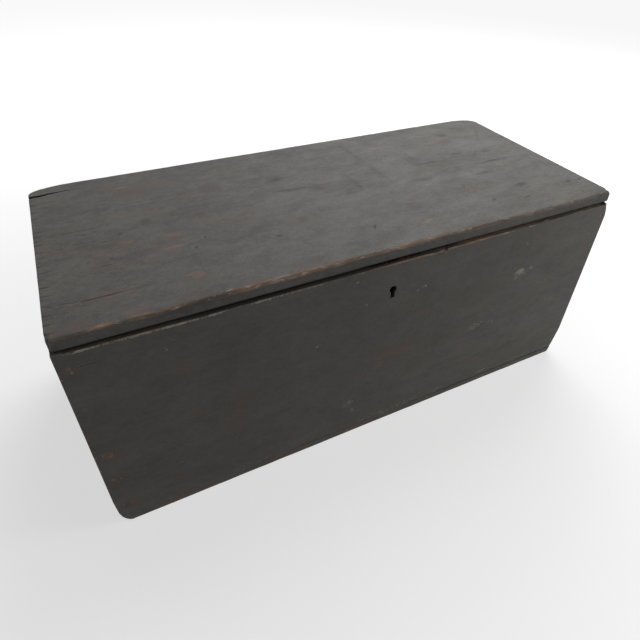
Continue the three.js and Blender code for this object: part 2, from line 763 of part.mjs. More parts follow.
function addBoards(parent) {
  addPiece(parent, 'front_board', frontBoard(), paint);
  addPiece(parent, 'back_board', backBoard(), paint);
  addPiece(parent, 'left_end_board', endBoard(-1), paint);
  addPiece(parent, 'right_end_board', endBoard(1), paint);
  addPiece(parent, 'bottom_board', bottomBoard(), paint);
  addPiece(parent, 'lid_board', lidBoard(), paint);
}

function addHinges(parent) {
  for (const [side, x] of hinges) {
    const own = leafScrews.filter((screw) => screw.name.startsWith(side));
    const upward = own.filter((screw) => screw.facing.z > 0);
    const downward = own.filter((screw) => screw.facing.z < 0);
    addPiece(parent, `${side}_hinge_body_leaf`, hingeLeaf(x, wallTop, false, 0, upward), iron);
    addPiece(parent, `${side}_hinge_lid_leaf`, hingeLeaf(x, lidUnderside, true, 1, downward), iron);
    const pin = rod(hingePinRadius, 'x', x - hingeLength / 2, x + hingeLength / 2, hingeAxisY, hingeAxisZ);
    addPiece(parent, `${side}_hinge_pin`, pin, wornIron);
  }
}

function addLock(parent) {
  addPiece(parent, 'lock_plate', lockPlate(), iron);
  addPiece(parent, 'lock_case', lockCase(), iron);
  const pin = rod(drillPinRadius, 'y', lockPlateY - drillPinReach, frontInnerY, lockOffset, keyZ);
  addPiece(parent, 'lock_drill_pin', pin, wornIron);
  const stud = rod(guideStudRadius, 'y', lockCaseInnerY + fitClearance, frontInnerY, guideStudPlace.x, guideStudPlace.z);
  addPiece(parent, 'lock_guide_stud', stud, wornIron);
  addPiece(parent, 'lock_ward', lockWard(), iron);
  addPiece(parent, 'lock_bolt', lockBolt(), wornIron);
  addPiece(parent, 'lock_spring', lockSpring(), wornIron);
  for (const { name, x, z } of rivetPlaces) {
    addPiece(parent, name, rod(caseRivetRadius, 'y', lockCaseFrontY, frontInnerY, x, z), wornIron);
  }
  addPiece(parent, 'strike_plate', strikePlate(), iron);
}

function addFasteners(parent) {
  for (const screw of [...leafScrews, ...lockScrews(), ...strikeScrews()]) {
    addPiece(parent, screw.name, screwPiece(screw), wornIron);
  }
  for (const nail of [...frontNails, ...backNails, ...underNails]) {
    addPiece(parent, nail.name, nailSolid(nail), iron);
  }
}

addBoards(chest);
addHinges(chest);
addLock(chest);
addFasteners(chest);

export default chest;
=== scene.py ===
# Storage chest: the wear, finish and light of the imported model.
# Metres, +Z up, front towards -Y, length along X.

import json
import math
from types import SimpleNamespace
import bpy
import numpy as np
from mathutils import Matrix, Vector, noise


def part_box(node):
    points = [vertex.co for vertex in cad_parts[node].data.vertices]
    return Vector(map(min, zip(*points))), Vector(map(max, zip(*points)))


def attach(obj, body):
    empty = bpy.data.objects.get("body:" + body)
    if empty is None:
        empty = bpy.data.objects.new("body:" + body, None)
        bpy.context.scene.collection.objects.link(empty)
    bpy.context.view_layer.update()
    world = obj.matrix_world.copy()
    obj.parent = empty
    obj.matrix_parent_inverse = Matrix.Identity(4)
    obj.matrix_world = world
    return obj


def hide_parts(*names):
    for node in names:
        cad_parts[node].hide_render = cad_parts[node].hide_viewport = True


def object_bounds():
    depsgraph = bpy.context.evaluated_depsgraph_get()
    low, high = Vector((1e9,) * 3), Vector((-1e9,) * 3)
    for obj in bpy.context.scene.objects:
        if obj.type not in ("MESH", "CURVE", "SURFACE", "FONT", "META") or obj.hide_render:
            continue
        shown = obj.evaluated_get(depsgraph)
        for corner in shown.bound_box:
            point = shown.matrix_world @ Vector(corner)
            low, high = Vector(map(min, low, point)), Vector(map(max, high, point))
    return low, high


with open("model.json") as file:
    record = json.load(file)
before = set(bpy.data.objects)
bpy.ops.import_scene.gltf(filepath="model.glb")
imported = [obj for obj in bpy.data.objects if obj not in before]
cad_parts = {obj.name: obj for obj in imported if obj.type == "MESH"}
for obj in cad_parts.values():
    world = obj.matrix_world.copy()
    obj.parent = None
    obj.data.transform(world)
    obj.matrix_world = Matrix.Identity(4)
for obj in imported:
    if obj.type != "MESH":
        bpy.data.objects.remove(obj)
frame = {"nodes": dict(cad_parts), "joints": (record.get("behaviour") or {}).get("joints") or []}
cad_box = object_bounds()

MM = 0.001


def mm(*values):
    """Millimetres in metres."""
    return [value * MM for value in values]


# The frame's own places
CHEST_LOW = Vector(cad_box[0])
CHEST_HIGH = Vector(cad_box[1])
LENGTH = CHEST_HIGH.x - CHEST_LOW.x
LID_LOW, LID_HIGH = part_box("lid_board")
END_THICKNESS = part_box("left_end_board")[1].x - CHEST_LOW.x
FRONT_LOW, FRONT_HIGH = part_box("front_board")
FRONT_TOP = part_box("lock_plate")[1].z
BOTTOM_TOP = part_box("bottom_board")[1].z
KEY_PIN = sum(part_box("lock_drill_pin"), Vector()) / 2
HINGE_AXIS = Vector(next(j["pos_m"] for j in frame["joints"] if j["name"] == "lid_hinge"))

# Camera, fitted to the photograph's edges: its place in chest lengths from the front left foot
CAMERA_PLACE_SHARES = Vector((0.0933, -0.5522, 0.8600))
CAMERA_FORWARD = Vector((0.3777, 0.6868, -0.6210))
CAMERA_UP = Vector((0.2599, 0.5651, 0.7830))
CAMERA_LENS = 28.96
CAMERA_SENSOR = 36
CAMERA_SHIFT = (-0.0254, -0.0346)
CAMERA_NEAR = 0.01

# Light
WORLD_STRENGTH = 0.142
OVERHEAD = {"place": Vector((1.18, 1.2, 2.1)), "size": 2.2, "power": 40.0}
KEY = {"place": Vector((1.8, -0.9, 0.9)), "size": 0.8, "power": 11.6}
FLOOR_SIZE = 12
FLOOR_COLOUR = (0.5, 0.5, 0.5, 1)
FLOOR_GLOW_NEAR = 0.60
FLOOR_GLOW_FAR = 0.86
FLOOR_GLOW_REACH = (0.5, 1.8)

# Surfaces of the planks
PLANK_STEP = 3.8 * MM
COARSE_STEP = 7 * MM
EDGE_STEPS = mm(0.35, 0.8, 1.4, 2.2, 3.2, 4.4, 6, 8, 11)
LINE_GAP_SHARE = 0.9
FADE_DEPTH = 8 * MM
WAVE_HEIGHT = 0.35 * MM
WAVE_SCALE = 6
RIPPLE_HEIGHT = 0.12 * MM
RIPPLE_SCALE = 45
MARK_DEPTH = 4 * MM
SHARP_ANGLE = 40
TINY = 1e-9
OVERRUN = 5 * MM
ROUND_SIDES = 32
FIT = 0.3 * MM

# Noises that make wear uneven: share, scale per metre, seed
LID_WOBBLE = [(1, 22, 1.3), (0.5, 75, 5.3)]
LID_CHIPS = [(1, 90, 3.1)]
LID_WANDER = [(0.45, 9, 2.2), (0.35, 45, 4.4)]
FRONT_WOBBLE = [(1, 22, 9.3), (0.5, 75, 2.3)]
FRONT_WANDER = [(0.35, 9, 6.2), (0.35, 45, 8.4)]
FRONT_END_WANDER = [(0.6, 24, 9.1)]
FRONT_FLECKS = [(1, 38, 3.4), (0.7, 110, 1.4)]
PLAIN_WOBBLE = [(1, 30, 3.7), (0.5, 90, 1.9)]
PLAIN_WANDER = [(0.5, 25, 7.7)]
PLAIN_BREAKS = [(0.8, 13, 4.1), (0.6, 47, 6.3)]
PLAIN_RUBS = [(0.30, 11, 5.1)]
BOTTOM_WANDER = [(0.5, 25, 3.3)]
BOTTOM_BREAKS = [(0.3, 17, 8.3)]
BOTTOM_RUBS = [(0.3, 14, 5.1)]
# How much each axis counts in them: the length alone, the height alone, mostly the length, less the height
ALONG = (1, 0, 0)
UPWARDS = (0, 0, 1)
ARRIS_STRETCH = (1, 0.2, 0.2)
FLAT_STRETCH = (1, 1, 0.3)
# Seeds for the waves in each board's faces, and for the first split
SEEDS = {"lid": 4.0, "front": 14.0, "back": 24.0, "end": 34.0, "bottom": 44.0, "splits": 11.0}

# Wear of the lid, whose corners (side along, side across) reach along the length and across the depth
LID_TOP_ARRIS = 5 * MM
LID_LOWER_ARRIS = 2.4 * MM
LID_END_ARRIS = 1.3 * MM
LID_CORNERS = {(-1, 1): mm(66, 21), (1, 1): mm(52, 26), (1, -1): mm(6.5, 8), (-1, -1): mm(7, 9)}
LID_BAND = 12 * MM
# How strongly that band is worn along the chest
BAND_PLACES = mm(-425, -395, -330, -250, 190, 280, 432)
BAND_SHARES = [0.46, 0.56, 0.64, 0.74, 0.64, 0.56, 0.56]
FINGER_PLACE = -8.6 * MM
FINGER_REACH = 72 * MM
FINGER_WEAR = 0.5 * MM
FINGER_BLEND_SHARE = 0.7
CRACK_STEPS = 14
CRACK_WANDER = 1.2 * MM
CRACK_BENDS = 5
# Spans over which the lid's wear, dirt and painted shade fade, from its faces or along the chest
LID_SPANS = {
    "top": mm(3, 6), "side": mm(1, 4), "underside": mm(0.5, 1.5), "rim": mm(3, 8), "lip": mm(0.8, 2.2),
    "grime_and_shade": mm(1.5, 7), "lower_shade_along": mm(-330, -230), "dull_along": mm(150, 400), "depth": mm(8, 12),
}
SIDE_WEAR_SHARE = 0.34
# How dark the painted shade on the lid's front face over the gap is
LOWER_SHADE_SHARE = 0.46
DULL_SHARE = 0.42
LID_FINE_PLACES = mm(349, 307, 276, 5)
LID_FINE_REACH = 16 * MM
LID_FINE_STEP = 2 * MM

# Splits in the lid: start and end as (from the middle, from the front), mouth and depth
LID_SPLITS = [
    ((-434, 351), (-372, 359), 8.0, 9),
    ((-390, 59), (-303, 61.5), 1.0, 8),
    ((-434, 152), (-416, 153), 1.4, 8),
    ((-434, 187), (-413, 186), 1.1, 8),
    ((-434, 228), (-409, 230), 1.4, 8),
    ((-434, 262), (-417, 262), 1.0, 8),
    ((434, 96), (414, 97), 1.1, 8),
    ((434, 204), (416, 203), 1.2, 8),
]

# Wear of the front board
FRONT_ARRIS = 2.2 * MM
FRONT_BAND = 4.5 * MM
FRONT_WORN_PLACE = (110 * MM, FRONT_TOP)
FRONT_WORN_REACH = mm(260, 400)
BLOCK = 11.5 * MM
BLOCK_FINE = mm(3, 0.5)
# How dark the painted shade in the gap under the lid is along the chest
GAP_SHADE_PLACES = mm(-430, -300, -90, 60, 130)
GAP_SHADE_SHARES = [0.66, 0.60, 1, 1, 0.47]
# The top edge has worn hollow: places along the chest, and how far it is below the lid there
HOLLOW_PLACES = mm(-432, -421.1, -419.9, -372, -262, 422, 427, 432)
HOLLOW_DEPTHS = mm(0, 0, 1.1, 1.9, 3, 3, 0.7, 0.6)
# A chip out of that edge's outer side: where it begins, is deepest and ends
CHIP_PLACES = mm(50, 90, 92.5)
CHIP_DEPTH = 3.2 * MM
CHIP_ACROSS = mm(0, 8)
CHIP_FINE = mm(4, 0.6)
# How strongly the pale line of wear along that edge shows
LINE_PLACES = mm(-345, -285, -200, -60, 60)
LINE_SHARES = [0.66, 0.58, 0.46, 0.28, 0.14]
# Spans over which the front board's wear, dirt and painted shade fade
FRONT_SPANS = {
    "end": mm(1, 8), "face": mm(3, 9), "line": mm(0.6, 1.4), "chip": mm(1.5, 4), "gap": mm(0.5, 1.5),
    "gap_across": mm(0.7, 1.6), "seam": mm(1.6, 4.4), "seam_across": mm(6, 10), "paint": mm(6, 9),
    "end_paint": mm(13, 16),
}
FRONT_EDGE_SHARE = 0.54
FRONT_TOP_SHARES = (0.62, 0.20)
FRONT_BAND_SHARES = (0.75, 0.5)
LINE_FLECK_SHARE = 0.45
# How far down that line is full and how far it reaches, each with what its own share adds
LINE_FULL = mm(1.2, 2)
LINE_REACH = mm(2.4, 3)
CHIP_EDGE_SHARE = 0.95
SEAM_DIRT_SHARES = (0.75, 0.4)
NAIL_DIMPLE = 0.35 * MM
NAIL_DIMPLE_REACH = 9 * MM
NAIL_GAP = 0.12 * MM
NAIL_HOLE_DEPTH = 3 * MM

# Wear of the other boards
BOARD_ARRIS = 1.5 * MM
SEAM_ARRIS = 0.5 * MM
SEAM_WEAR = 1.7 * MM
SEAM_WEAR_ALONG = mm(0, 150)
SEAM_DIRT_ALONG = mm(60, 200)
FOOT_WEAR = mm(3.4, 3.4)
PLAIN_SPANS = {"arris": mm(1, 5), "face": mm(3, 9), "foot": mm(2, 16), "paint": mm(3, 5),
               "end_paint": mm(0.3, 0.8)}
PLAIN_END_SHARES = (0.42, 0.30)
PLAIN_TOP_SHARES = (0.40, 0.35)
PLAIN_FOOT_SHARE = 0.46
PLAIN_RUB_SHARE = 0.14
MARK_SCUFF_SHARE = 0.7
BOTTOM_SPANS = {"foot": mm(4, 12), "seam": mm(1, 3), "seam_across": mm(4, 10), "paint": mm(2, 4),
                "end_paint": mm(15, 18)}
BOTTOM_FOOT_SHARE = 0.44
BOTTOM_SEAM_SHARE = 0.9
BOTTOM_RUB_SHARE = 0.30

# Knocks that have worn the front corners across the joints: corner, the way out of it, reach along each axis
# and how round the wear is, from 0 for a flat cut to 1 for an oval
LEFT_KNOCKS = [((CHEST_LOW.x, CHEST_LOW.y, 0), (-1, -1, -1), mm(15, 50, 26), 0.8),
               ((CHEST_LOW.x, CHEST_LOW.y, 0), (-1, -1, -1), mm(3, 60, 55), 0)]
RIGHT_KNOCKS = [((CHEST_HIGH.x, CHEST_LOW.y, 0), (1, -1, -1), mm(12.5, 60, 62), 0.1),
                ((CHEST_HIGH.x, CHEST_LOW.y, FRONT_TOP), (1, -1, 1), mm(7.5, 30, 22), 0.2)]

# Sizes of the iron that the boards are cut for
HINGE_RADIUS = CHEST_HIGH.y - HINGE_AXIS.y
HINGE_LEAF = 2.35 * MM
BACK_BEVEL_ANGLE = 53.5
KEYHOLE_RADIUS = 6 * MM
KEYHOLE_SLOT = 6.8 * MM
KEYHOLE_REACH = 15 * MM

# The pith line of each board's log, seen along its grain
LID_PITH = (0, 0.03, -0.30)
FRONT_PITH = (0, 0.24, -0.16)
BACK_PITH = (0, -0.24, -0.20)
END_PITH = (0.46, 0, -0.15)
BOTTOM_PITH = (0, -0.05, 0.05)


# Camera, light and floor

def linked(name, data):
    """A new object in the scene."""
    made = bpy.data.objects.new(name, data)
    bpy.context.scene.collection.objects.link(made)
    return made


def make_camera():
    data = bpy.data.cameras.new("camera")
    data.lens = CAMERA_LENS
    data.sensor_width = CAMERA_SENSOR
    data.shift_x, data.shift_y = CAMERA_SHIFT
    data.clip_start = CAMERA_NEAR
    camera = linked("camera", data)
    back = -CAMERA_FORWARD.normalized()
    right = CAMERA_UP.cross(back).normalized()
    up = back.cross(right)
    place = Vector((CHEST_LOW.x, CHEST_LOW.y, 0)) + CAMERA_PLACE_SHARES * LENGTH
    turn = Matrix((right, up, back)).transposed().to_4x4()
    camera.matrix_world = Matrix.Translation(place) @ turn
    bpy.context.scene.camera = camera


def seen_directly(tree):
    """1 where the camera, a mirror or a glass looks straight at a surface, 0 for the light it gives."""
    path = add(tree, "ShaderNodeLightPath")
    seen = calc("MAXIMUM", path.outputs["Is Camera Ray"], path.outputs["Is Glossy Ray"])
    return calc("MAXIMUM", seen, path.outputs["Is Transmission Ray"])


def make_world():
    world = bpy.data.worlds.new("studio")
    bpy.context.scene.world = world
    tree = cleared_tree(world)
    strength = ranged(seen_directly(tree), 0, 1, WORLD_STRENGTH, 1)
    light = add(tree, "ShaderNodeBackground", {"Color": (1, 1, 1, 1), "Strength": strength})
    add(tree, "ShaderNodeOutputWorld", {"Surface": light.outputs[0]})


def make_lamp(name, place, size, power):
    """A round soft lamp aimed at the middle of the chest."""
    data = bpy.data.lights.new(name, "AREA")
    data.shape = "DISK"
    data.size = size
    data.energy = power
    lamp = linked(name, data)
    aim = Vector((0, 0, CHEST_HIGH.z / 2)) - place
    lamp.matrix_world = Matrix.Translation(place) @ aim.to_track_quat("-Z", "Y").to_matrix().to_4x4()


def make_floor():
    """A pale floor that glows only where it is seen directly, so that it adds no light to the chest."""
    half = FLOOR_SIZE / 2
    corners = [(-half, -half, 0), (half, -half, 0), (half, half, 0), (-half, half, 0)]
    material = bpy.data.materials.new("floor")
    tree = cleared_tree(material)
    diffuse = add(tree, "ShaderNodeBsdfDiffuse", {"Color": FLOOR_COLOUR})
    away = add(tree, "ShaderNodeVectorMath", {0: placed_coords(tree)}, operation="LENGTH").outputs["Value"]
    white = ranged(away, *FLOOR_GLOW_REACH, FLOOR_GLOW_NEAR, FLOOR_GLOW_FAR)
    strength = calc("MULTIPLY", seen_directly(tree), white)
    glow = add(tree, "ShaderNodeEmission", {"Color": (1, 1, 1, 1), "Strength": strength})
    both = add(tree, "ShaderNodeAddShader", {0: diffuse.outputs[0], 1: glow.outputs[0]})
    add(tree, "ShaderNodeOutputMaterial", {"Surface": both.outputs[0]})
    floor = mesh_object("floor", corners, [(0, 1, 2, 3)], material)


# Short ways to build node trees. What works on a socket adds its node to that socket's own tree.

def cleared_tree(owner):
    owner.use_nodes = True
    owner.node_tree.nodes.clear()
    return owner.node_tree


def put(socket, value):
    if isinstance(value, bpy.types.NodeSocket):
        socket.id_data.links.new(value, socket)
    else:
        socket.default_value = value


def add(tree, kind, inputs=None, **settings):
    made = tree.nodes.new(kind)
    for name, value in settings.items():
        setattr(made, name, value)
    for name, value in (inputs or {}).items():
        put(made.inputs[name], value)
    return made


def calc(operation, a, b=0.0, c=0.0):
    return add(a.id_data, "ShaderNodeMath", {0: a, 1: b, 2: c}, operation=operation).outputs[0]


def times(a, b):
    return calc("MULTIPLY", a, b)


def plus(a, b, share, operation="ADD"):
    """The first value plus, or less, a share of the second."""
    return calc(operation, a, times(b, share))


def summed(first, *others):
    """The sum of several (value, share)."""
    found = times(*first)
    for value, share in others:
        found = plus(found, value, share)
    return found


def ranged(value, low, high, to_low=0.0, to_high=1.0, kind="LINEAR"):
    inputs = {"Value": value, "From Min": low, "From Max": high, "To Min": to_low, "To Max": to_high}
    return add(value.id_data, "ShaderNodeMapRange", inputs, interpolation_type=kind).outputs["Result"]


def mixed(factor, a, b):
    inputs = {0: factor, 6: a, 7: b}
    return add(factor.id_data, "ShaderNodeMix", inputs, data_type="RGBA", clamp_factor=True).outputs[2]


def between(factor, a, b):
    """As mixed, for two plain values."""
    return add(factor.id_data, "ShaderNodeMix", {0: factor, 2: a, 3: b}, data_type="FLOAT").outputs[0]


def laid(under, value, low, high, share, colour):
    """A colour laid over another: none where the value is at low, a share where it is at high."""
    return mixed(ranged(value, low, high, 0, share), under, colour)


def cloud(vector, scale, detail=4.0, roughness=0.6, distortion=0.0, output="Fac"):
    inputs = {"Vector": vector, "Scale": scale, "Detail": detail, "Roughness": roughness,
              "Distortion": distortion}
    return add(vector.id_data, "ShaderNodeTexNoise", inputs).outputs[output]


def placed_coords(tree, scale=(1, 1, 1), shift=(0, 0, 0)):
    coords = add(tree, "ShaderNodeTexCoord").outputs["Object"]
    return add(tree, "ShaderNodeMapping", {"Vector": coords, "Scale": scale, "Location": shift}).outputs[0]


def along_grain(tree, grain, share, shift=(0, 0, 0)):
    """Object coordinates drawn out along the grain axis."""
    return placed_coords(tree, [share if axis == grain else 1 for axis in range(3)], shift)


def attribute(tree, name):
    return add(tree, "ShaderNodeAttribute", attribute_name=name).outputs["Fac"]


def new_material(name):
    material = bpy.data.materials.new(name)
    tree = cleared_tree(material)
    shader = add(tree, "ShaderNodeBsdfPrincipled")
    add(tree, "ShaderNodeOutputMaterial", {"Surface": shader.outputs[0]})
    return material, tree, shader


def finished(shader, colour, roughness, height, distance):
    """Gives the shader its colour and roughness, and bump from a height in shares of a distance."""
    put(shader.inputs["Base Color"], colour)
    put(shader.inputs["Roughness"], roughness)
    bump = add(shader.id_data, "ShaderNodeBump", {"Height": height, "Distance": distance, "Strength": 1.0})
    put(shader.inputs["Normal"], bump.outputs[0])


# Materials. Colours are linear.

PAINT_DARK = (0.0205, 0.0199, 0.0180, 1)
PAINT_PALE = (0.086, 0.0838, 0.0725, 1)
PAINT_BROWN = (0.068, 0.0500, 0.0440, 1)
PAINT_OLIVE = (0.060, 0.0575, 0.0425, 1)
RUBBED_DULL = (0.092, 0.070, 0.056, 1)
RUBBED_BRIGHT = (0.160, 0.112, 0.080, 1)
EDGE_DULL = (0.115, 0.082, 0.063, 1)
EDGE_BRIGHT = (0.235, 0.152, 0.100, 1)
EDGE_ORANGE = (0.340, 0.205, 0.120, 1)
EDGE_PALE = (0.420, 0.365, 0.320, 1)
# DIRT_AND_SHADE is the colour of real dirt and stains, and also of painted shade: in the gap under the lid
# and in the keyhole
DIRT_AND_SHADE = (0.0095, 0.0072, 0.0055, 1)
SCUFF = (0.46, 0.42, 0.33, 1)
STAIN = (0.026, 0.0175, 0.0145, 1)
SCRATCH = (0.175, 0.165, 0.145, 1)
PINE_EARLY = (0.345, 0.215, 0.115, 1)
PINE_LATE = (0.200, 0.105, 0.050, 1)
PINE_GREY = (0.170, 0.135, 0.100, 1)
IRON_DARK = (0.030, 0.027, 0.025, 1)
IRON_BRIGHT = (0.180, 0.165, 0.150, 1)
RUST = (0.105, 0.045, 0.020, 1)
RUST_DEEP = (0.045, 0.022, 0.014, 1)

# Noises of the paint: scale per metre, stretch along the grain, detail, roughness, distortion
PAINT_NOISES = {
    "fibres": (620.0, 0.05, 3.0, 0.60, 0.0),
    "streaks": (150.0, 0.06, 5.0, 0.62, 0.0),
    "broad": (5.0, 1, 4.0, 0.60, 0.0),
    "patches": (24.0, 0.45, 5.0, 0.62, 0.0),
    "mottle": (105.0, 0.6, 5.0, 0.68, 0.0),
    "specks": (330.0, 1, 3.0, 0.60, 0.0),
    "flakes": (150.0, 0.28, 5.0, 0.70, 0.0),
    "hues": (17.0, 0.5, 4.0, 0.60, 0.4),
    "tones": (11.0, 1, 4.0, 0.60, 0.0),
    "blots": (46.0, 0.5, 4.0, 0.60, 0.5),
    "warmth": (38.0, 1, 4.0, 0.60, 0.0),
    "crumbs": (190.0, 0.3, 4.0, 0.65, 0.8),
}
# Where two of them are read, so that they don't follow the others
NOISE_SHIFTS = {"tones": (3, 8, 4), "warmth": (5, 2, 1)}
# Blotches and grain over the paint: noise, where it begins and is full, share of the board's figure, colour
PAINT_LAYERS = [
    ("blots", 0.50, 0.62, 0.85, PAINT_DARK), ("blots", 0.47, 0.36, 0.75, PAINT_PALE),
    ("streaks", 0.50, 0.68, 0.5, PAINT_DARK), ("mottle", 0.50, 0.62, 0.8, PAINT_DARK),
    ("mottle", 0.46, 0.34, 0.8, PAINT_PALE), ("specks", 0.54, 0.66, 0.8, PAINT_PALE),
    ("specks", 0.44, 0.34, 0.8, PAINT_DARK),
]
OLIVE_ALONG = mm(-100, 250)
# Drawn marks: how far noise shakes their outlines, and the scale of that noise
SCRATCH_SHAKE = (2.0 * MM, 30.0)
BARED_SHAKE = (6 * MM, 45.0)
STAIN_SHAKE = (3 * MM, 45.0)
CRACK_SHAKE = (1.8 * MM, 60.0)
# The walls of cuts: name, pith line, and how dark they are with dirt; the keyhole's are painted shade, nearly
# black
CUTS = [
    ("bare_lid_cuts", LID_PITH, 0.25), ("bare_front_cuts", FRONT_PITH, 0.25),
    ("bare_back_cuts", BACK_PITH, 0.25), ("dark_cuts", LID_PITH, 0.75), ("keyhole_shade", FRONT_PITH, 0.99),
]
# How deep the bump of each material is
PAINT_RELIEF = 0.9 * MM
WOOD_RELIEF = 0.8 * MM
IRON_RELIEF = 0.35 * MM
NAIL_RELIEF = 0.3 * MM


def pine(tree, grain, pith):
    """Aged bare pine: growth rings round a pith line, pores, grey dirt. Gives colour and height."""
    coords = along_grain(tree, grain, 0.10)
    bend = cloud(coords, 7.0, 3.0, 0.5, output="Color")
    bent = add(tree, "ShaderNodeMix", {0: 0.055, 4: coords, 5: bend}, data_type="VECTOR").outputs[1]
    placed = add(tree, "ShaderNodeMapping", {"Vector": bent, "Location": pith}).outputs[0]
    shape = {"Vector": placed, "Scale": 62.0, "Distortion": 1.2, "Detail": 2.0, "Detail Scale": 2.0}
    rings = add(tree, "ShaderNodeTexWave", shape, wave_type="RINGS", rings_direction="XYZ"[grain],
                wave_profile="SAW").outputs["Fac"]
    late = ranged(rings, 0.45, 1.0)
    fibres = cloud(along_grain(tree, grain, 0.03), 900.0, 3.0)
    wood = mixed(late, PINE_EARLY, PINE_LATE)
    wood = laid(wood, fibres, 0.50, 0.72, 0.45, PINE_LATE)
    wood = laid(wood, cloud(placed_coords(tree), 9.0, 5.0), 0.42, 0.70, 0.6, PINE_GREY)
    stains = cloud(placed_coords(tree, shift=(3, 1, 2)), 22.0, 4.0, 0.55)
    wood = laid(wood, stains, 0.60, 0.78, 0.5, DIRT_AND_SHADE)
    return wood, summed((fibres, 0.5), (late, 0.35))


def ovals(tree, coords, places, edge):
    """The greatest of many thin ovals (centre, reach, turn), each 1 inside and 0 outside."""
    found = None
    for centre, reach, turn in places:
        inputs = {"Vector": coords, "Location": centre, "Rotation": turn, "Scale": reach}
        local = add(tree, "ShaderNodeMapping", inputs, vector_type="TEXTURE").outputs[0]
        ball = add(tree, "ShaderNodeTexGradient", {"Vector": local}, gradient_type="SPHERICAL").outputs["Fac"]
        mask = ranged(ball, 0, edge)
        found = mask if found is None else calc("MAXIMUM", found, mask)
    return found


def shaken(tree, amount, scale):
    """Object coordinates moved a little by noise, so that what is drawn with them has uneven edges."""
    coords = placed_coords(tree)
    shift = cloud(coords, scale, 3.0, 0.5, output="Color")
    shift = add(tree, "ShaderNodeVectorMath", {0: shift, 1: (0.5, 0.5, 0.5)}, operation="SUBTRACT").outputs[0]
    shift = add(tree, "ShaderNodeVectorMath", {0: shift, "Scale": 2 * amount}, operation="SCALE").outputs[0]
    return add(tree, "ShaderNodeVectorMath", {0: coords, 1: shift}, operation="ADD").outputs[0]


def paint_noises(tree, grain):
    """Every noise of the paint by name, and uneven, which breaks up the edges of wear."""
    found = SimpleNamespace()
    for name, (scale, stretch, *texture) in PAINT_NOISES.items():
        coords = along_grain(tree, grain, stretch, NOISE_SHIFTS.get(name, (0, 0, 0)))
        setattr(found, name, cloud(coords, scale, *texture))
    found.uneven = ranged(summed((found.flakes, 0.65), (found.fibres, 0.35)), 0.25, 0.75)
    found.warm = ranged(found.warmth, 0.42, 0.62)
    return found


def old_paint(tree, n, brown, figure):
    """Uneven paint, browner in places, and more olive towards the right end."""
    paint = mixed(ranged(n.broad, 0.32, 0.68, 0.15, 0.85), PAINT_DARK, PAINT_PALE)
    paint = laid(paint, n.patches, 0.40, 0.66, 0.55, PAINT_PALE)
    paint = laid(paint, n.hues, 0.47, 0.62, brown, PAINT_BROWN)
    along = add(tree, "ShaderNodeSeparateXYZ", {"Vector": placed_coords(tree)}).outputs["X"]
    olive = times(ranged(n.tones, 0.42, 0.58), ranged(along, *OLIVE_ALONG, 0, 0.75))
    paint = mixed(olive, paint, PAINT_OLIVE)
    for name, low, high, share, colour in PAINT_LAYERS:
        paint = laid(paint, getattr(n, name), low, high, share * figure, colour)
    return paint


def worn_skin(tree, n, paint):
    """The paint rubbed thin, chipped, worn through at arrises and scuffed. Gives colour, rubbed and edge."""
    rub = attribute(tree, "rub")
    veil = ranged(plus(rub, n.patches, 0.6), 0.40, 0.80, kind="SMOOTHSTEP")
    paint = mixed(times(veil, 0.75), paint, PAINT_BROWN)
    worn = ranged(calc("ADD", rub, n.uneven), 0.90, 1.16, 0, 0.9)
    skin = mixed(worn, paint, mixed(n.warm, RUBBED_DULL, RUBBED_BRIGHT))
    skin = laid(skin, plus(n.flakes, rub, 0.16), 0.735, 0.77, 1, RUBBED_DULL)
    wear = attribute(tree, "edge")
    edge = ranged(plus(wear, n.uneven, 0.8), 0.84, 0.98)
    edging = mixed(n.warm, EDGE_DULL, EDGE_BRIGHT)
    edging = laid(edging, wear, 0.62, 0.90, 1, EDGE_ORANGE)
    edging = laid(edging, n.streaks, 0.46, 0.60, 0.8, PAINT_DARK)
    edging = laid(edging, n.crumbs, 0.55, 0.66, 0.8, EDGE_PALE)
    skin = mixed(edge, skin, edging)
    scuff = plus(attribute(tree, "scuff"), n.uneven, 0.4)
    scuff = calc("ADD", scuff, ranged(n.specks, 0.34, 0.66, 0, 0.5))
    return laid(skin, scuff, 0.84, 1.30, 0.9, SCUFF), worn, edge


def drawn_marks(tree, n, skin, height, scratches, stains, bared, cracks):
    """Scratches, bared places, brown stains and cracks, each drawn as thin ovals."""
    if scratches:
        lines = ovals(tree, shaken(tree, *SCRATCH_SHAKE), scratches, 0.8)
        lines = times(lines, ranged(n.uneven, 0.40, 0.65))
        skin = mixed(times(lines, 0.45), skin, SCRATCH)
    soft_marks = ((bared, RUBBED_BRIGHT, 0.65, BARED_SHAKE), (stains, STAIN, 0.9, STAIN_SHAKE))
    for lines, colour, share, shake in soft_marks:
        if lines:
            soft = ovals(tree, shaken(tree, *shake), lines, 1.0)
            soft = times(soft, ranged(n.uneven, 0.32, 0.68, 0.3, 1.7))
            skin = laid(skin, soft, 0.12, 0.55, share, colour)
    if cracks:
        deep = ovals(tree, shaken(tree, *CRACK_SHAKE), cracks, 0.8)
        deep = times(deep, ranged(n.mottle, 0.36, 0.52, 0.4, 1))
        skin = mixed(times(deep, 0.9), skin, DIRT_AND_SHADE)
        height = plus(height, deep, 1.3, "SUBTRACT")
    return skin, height


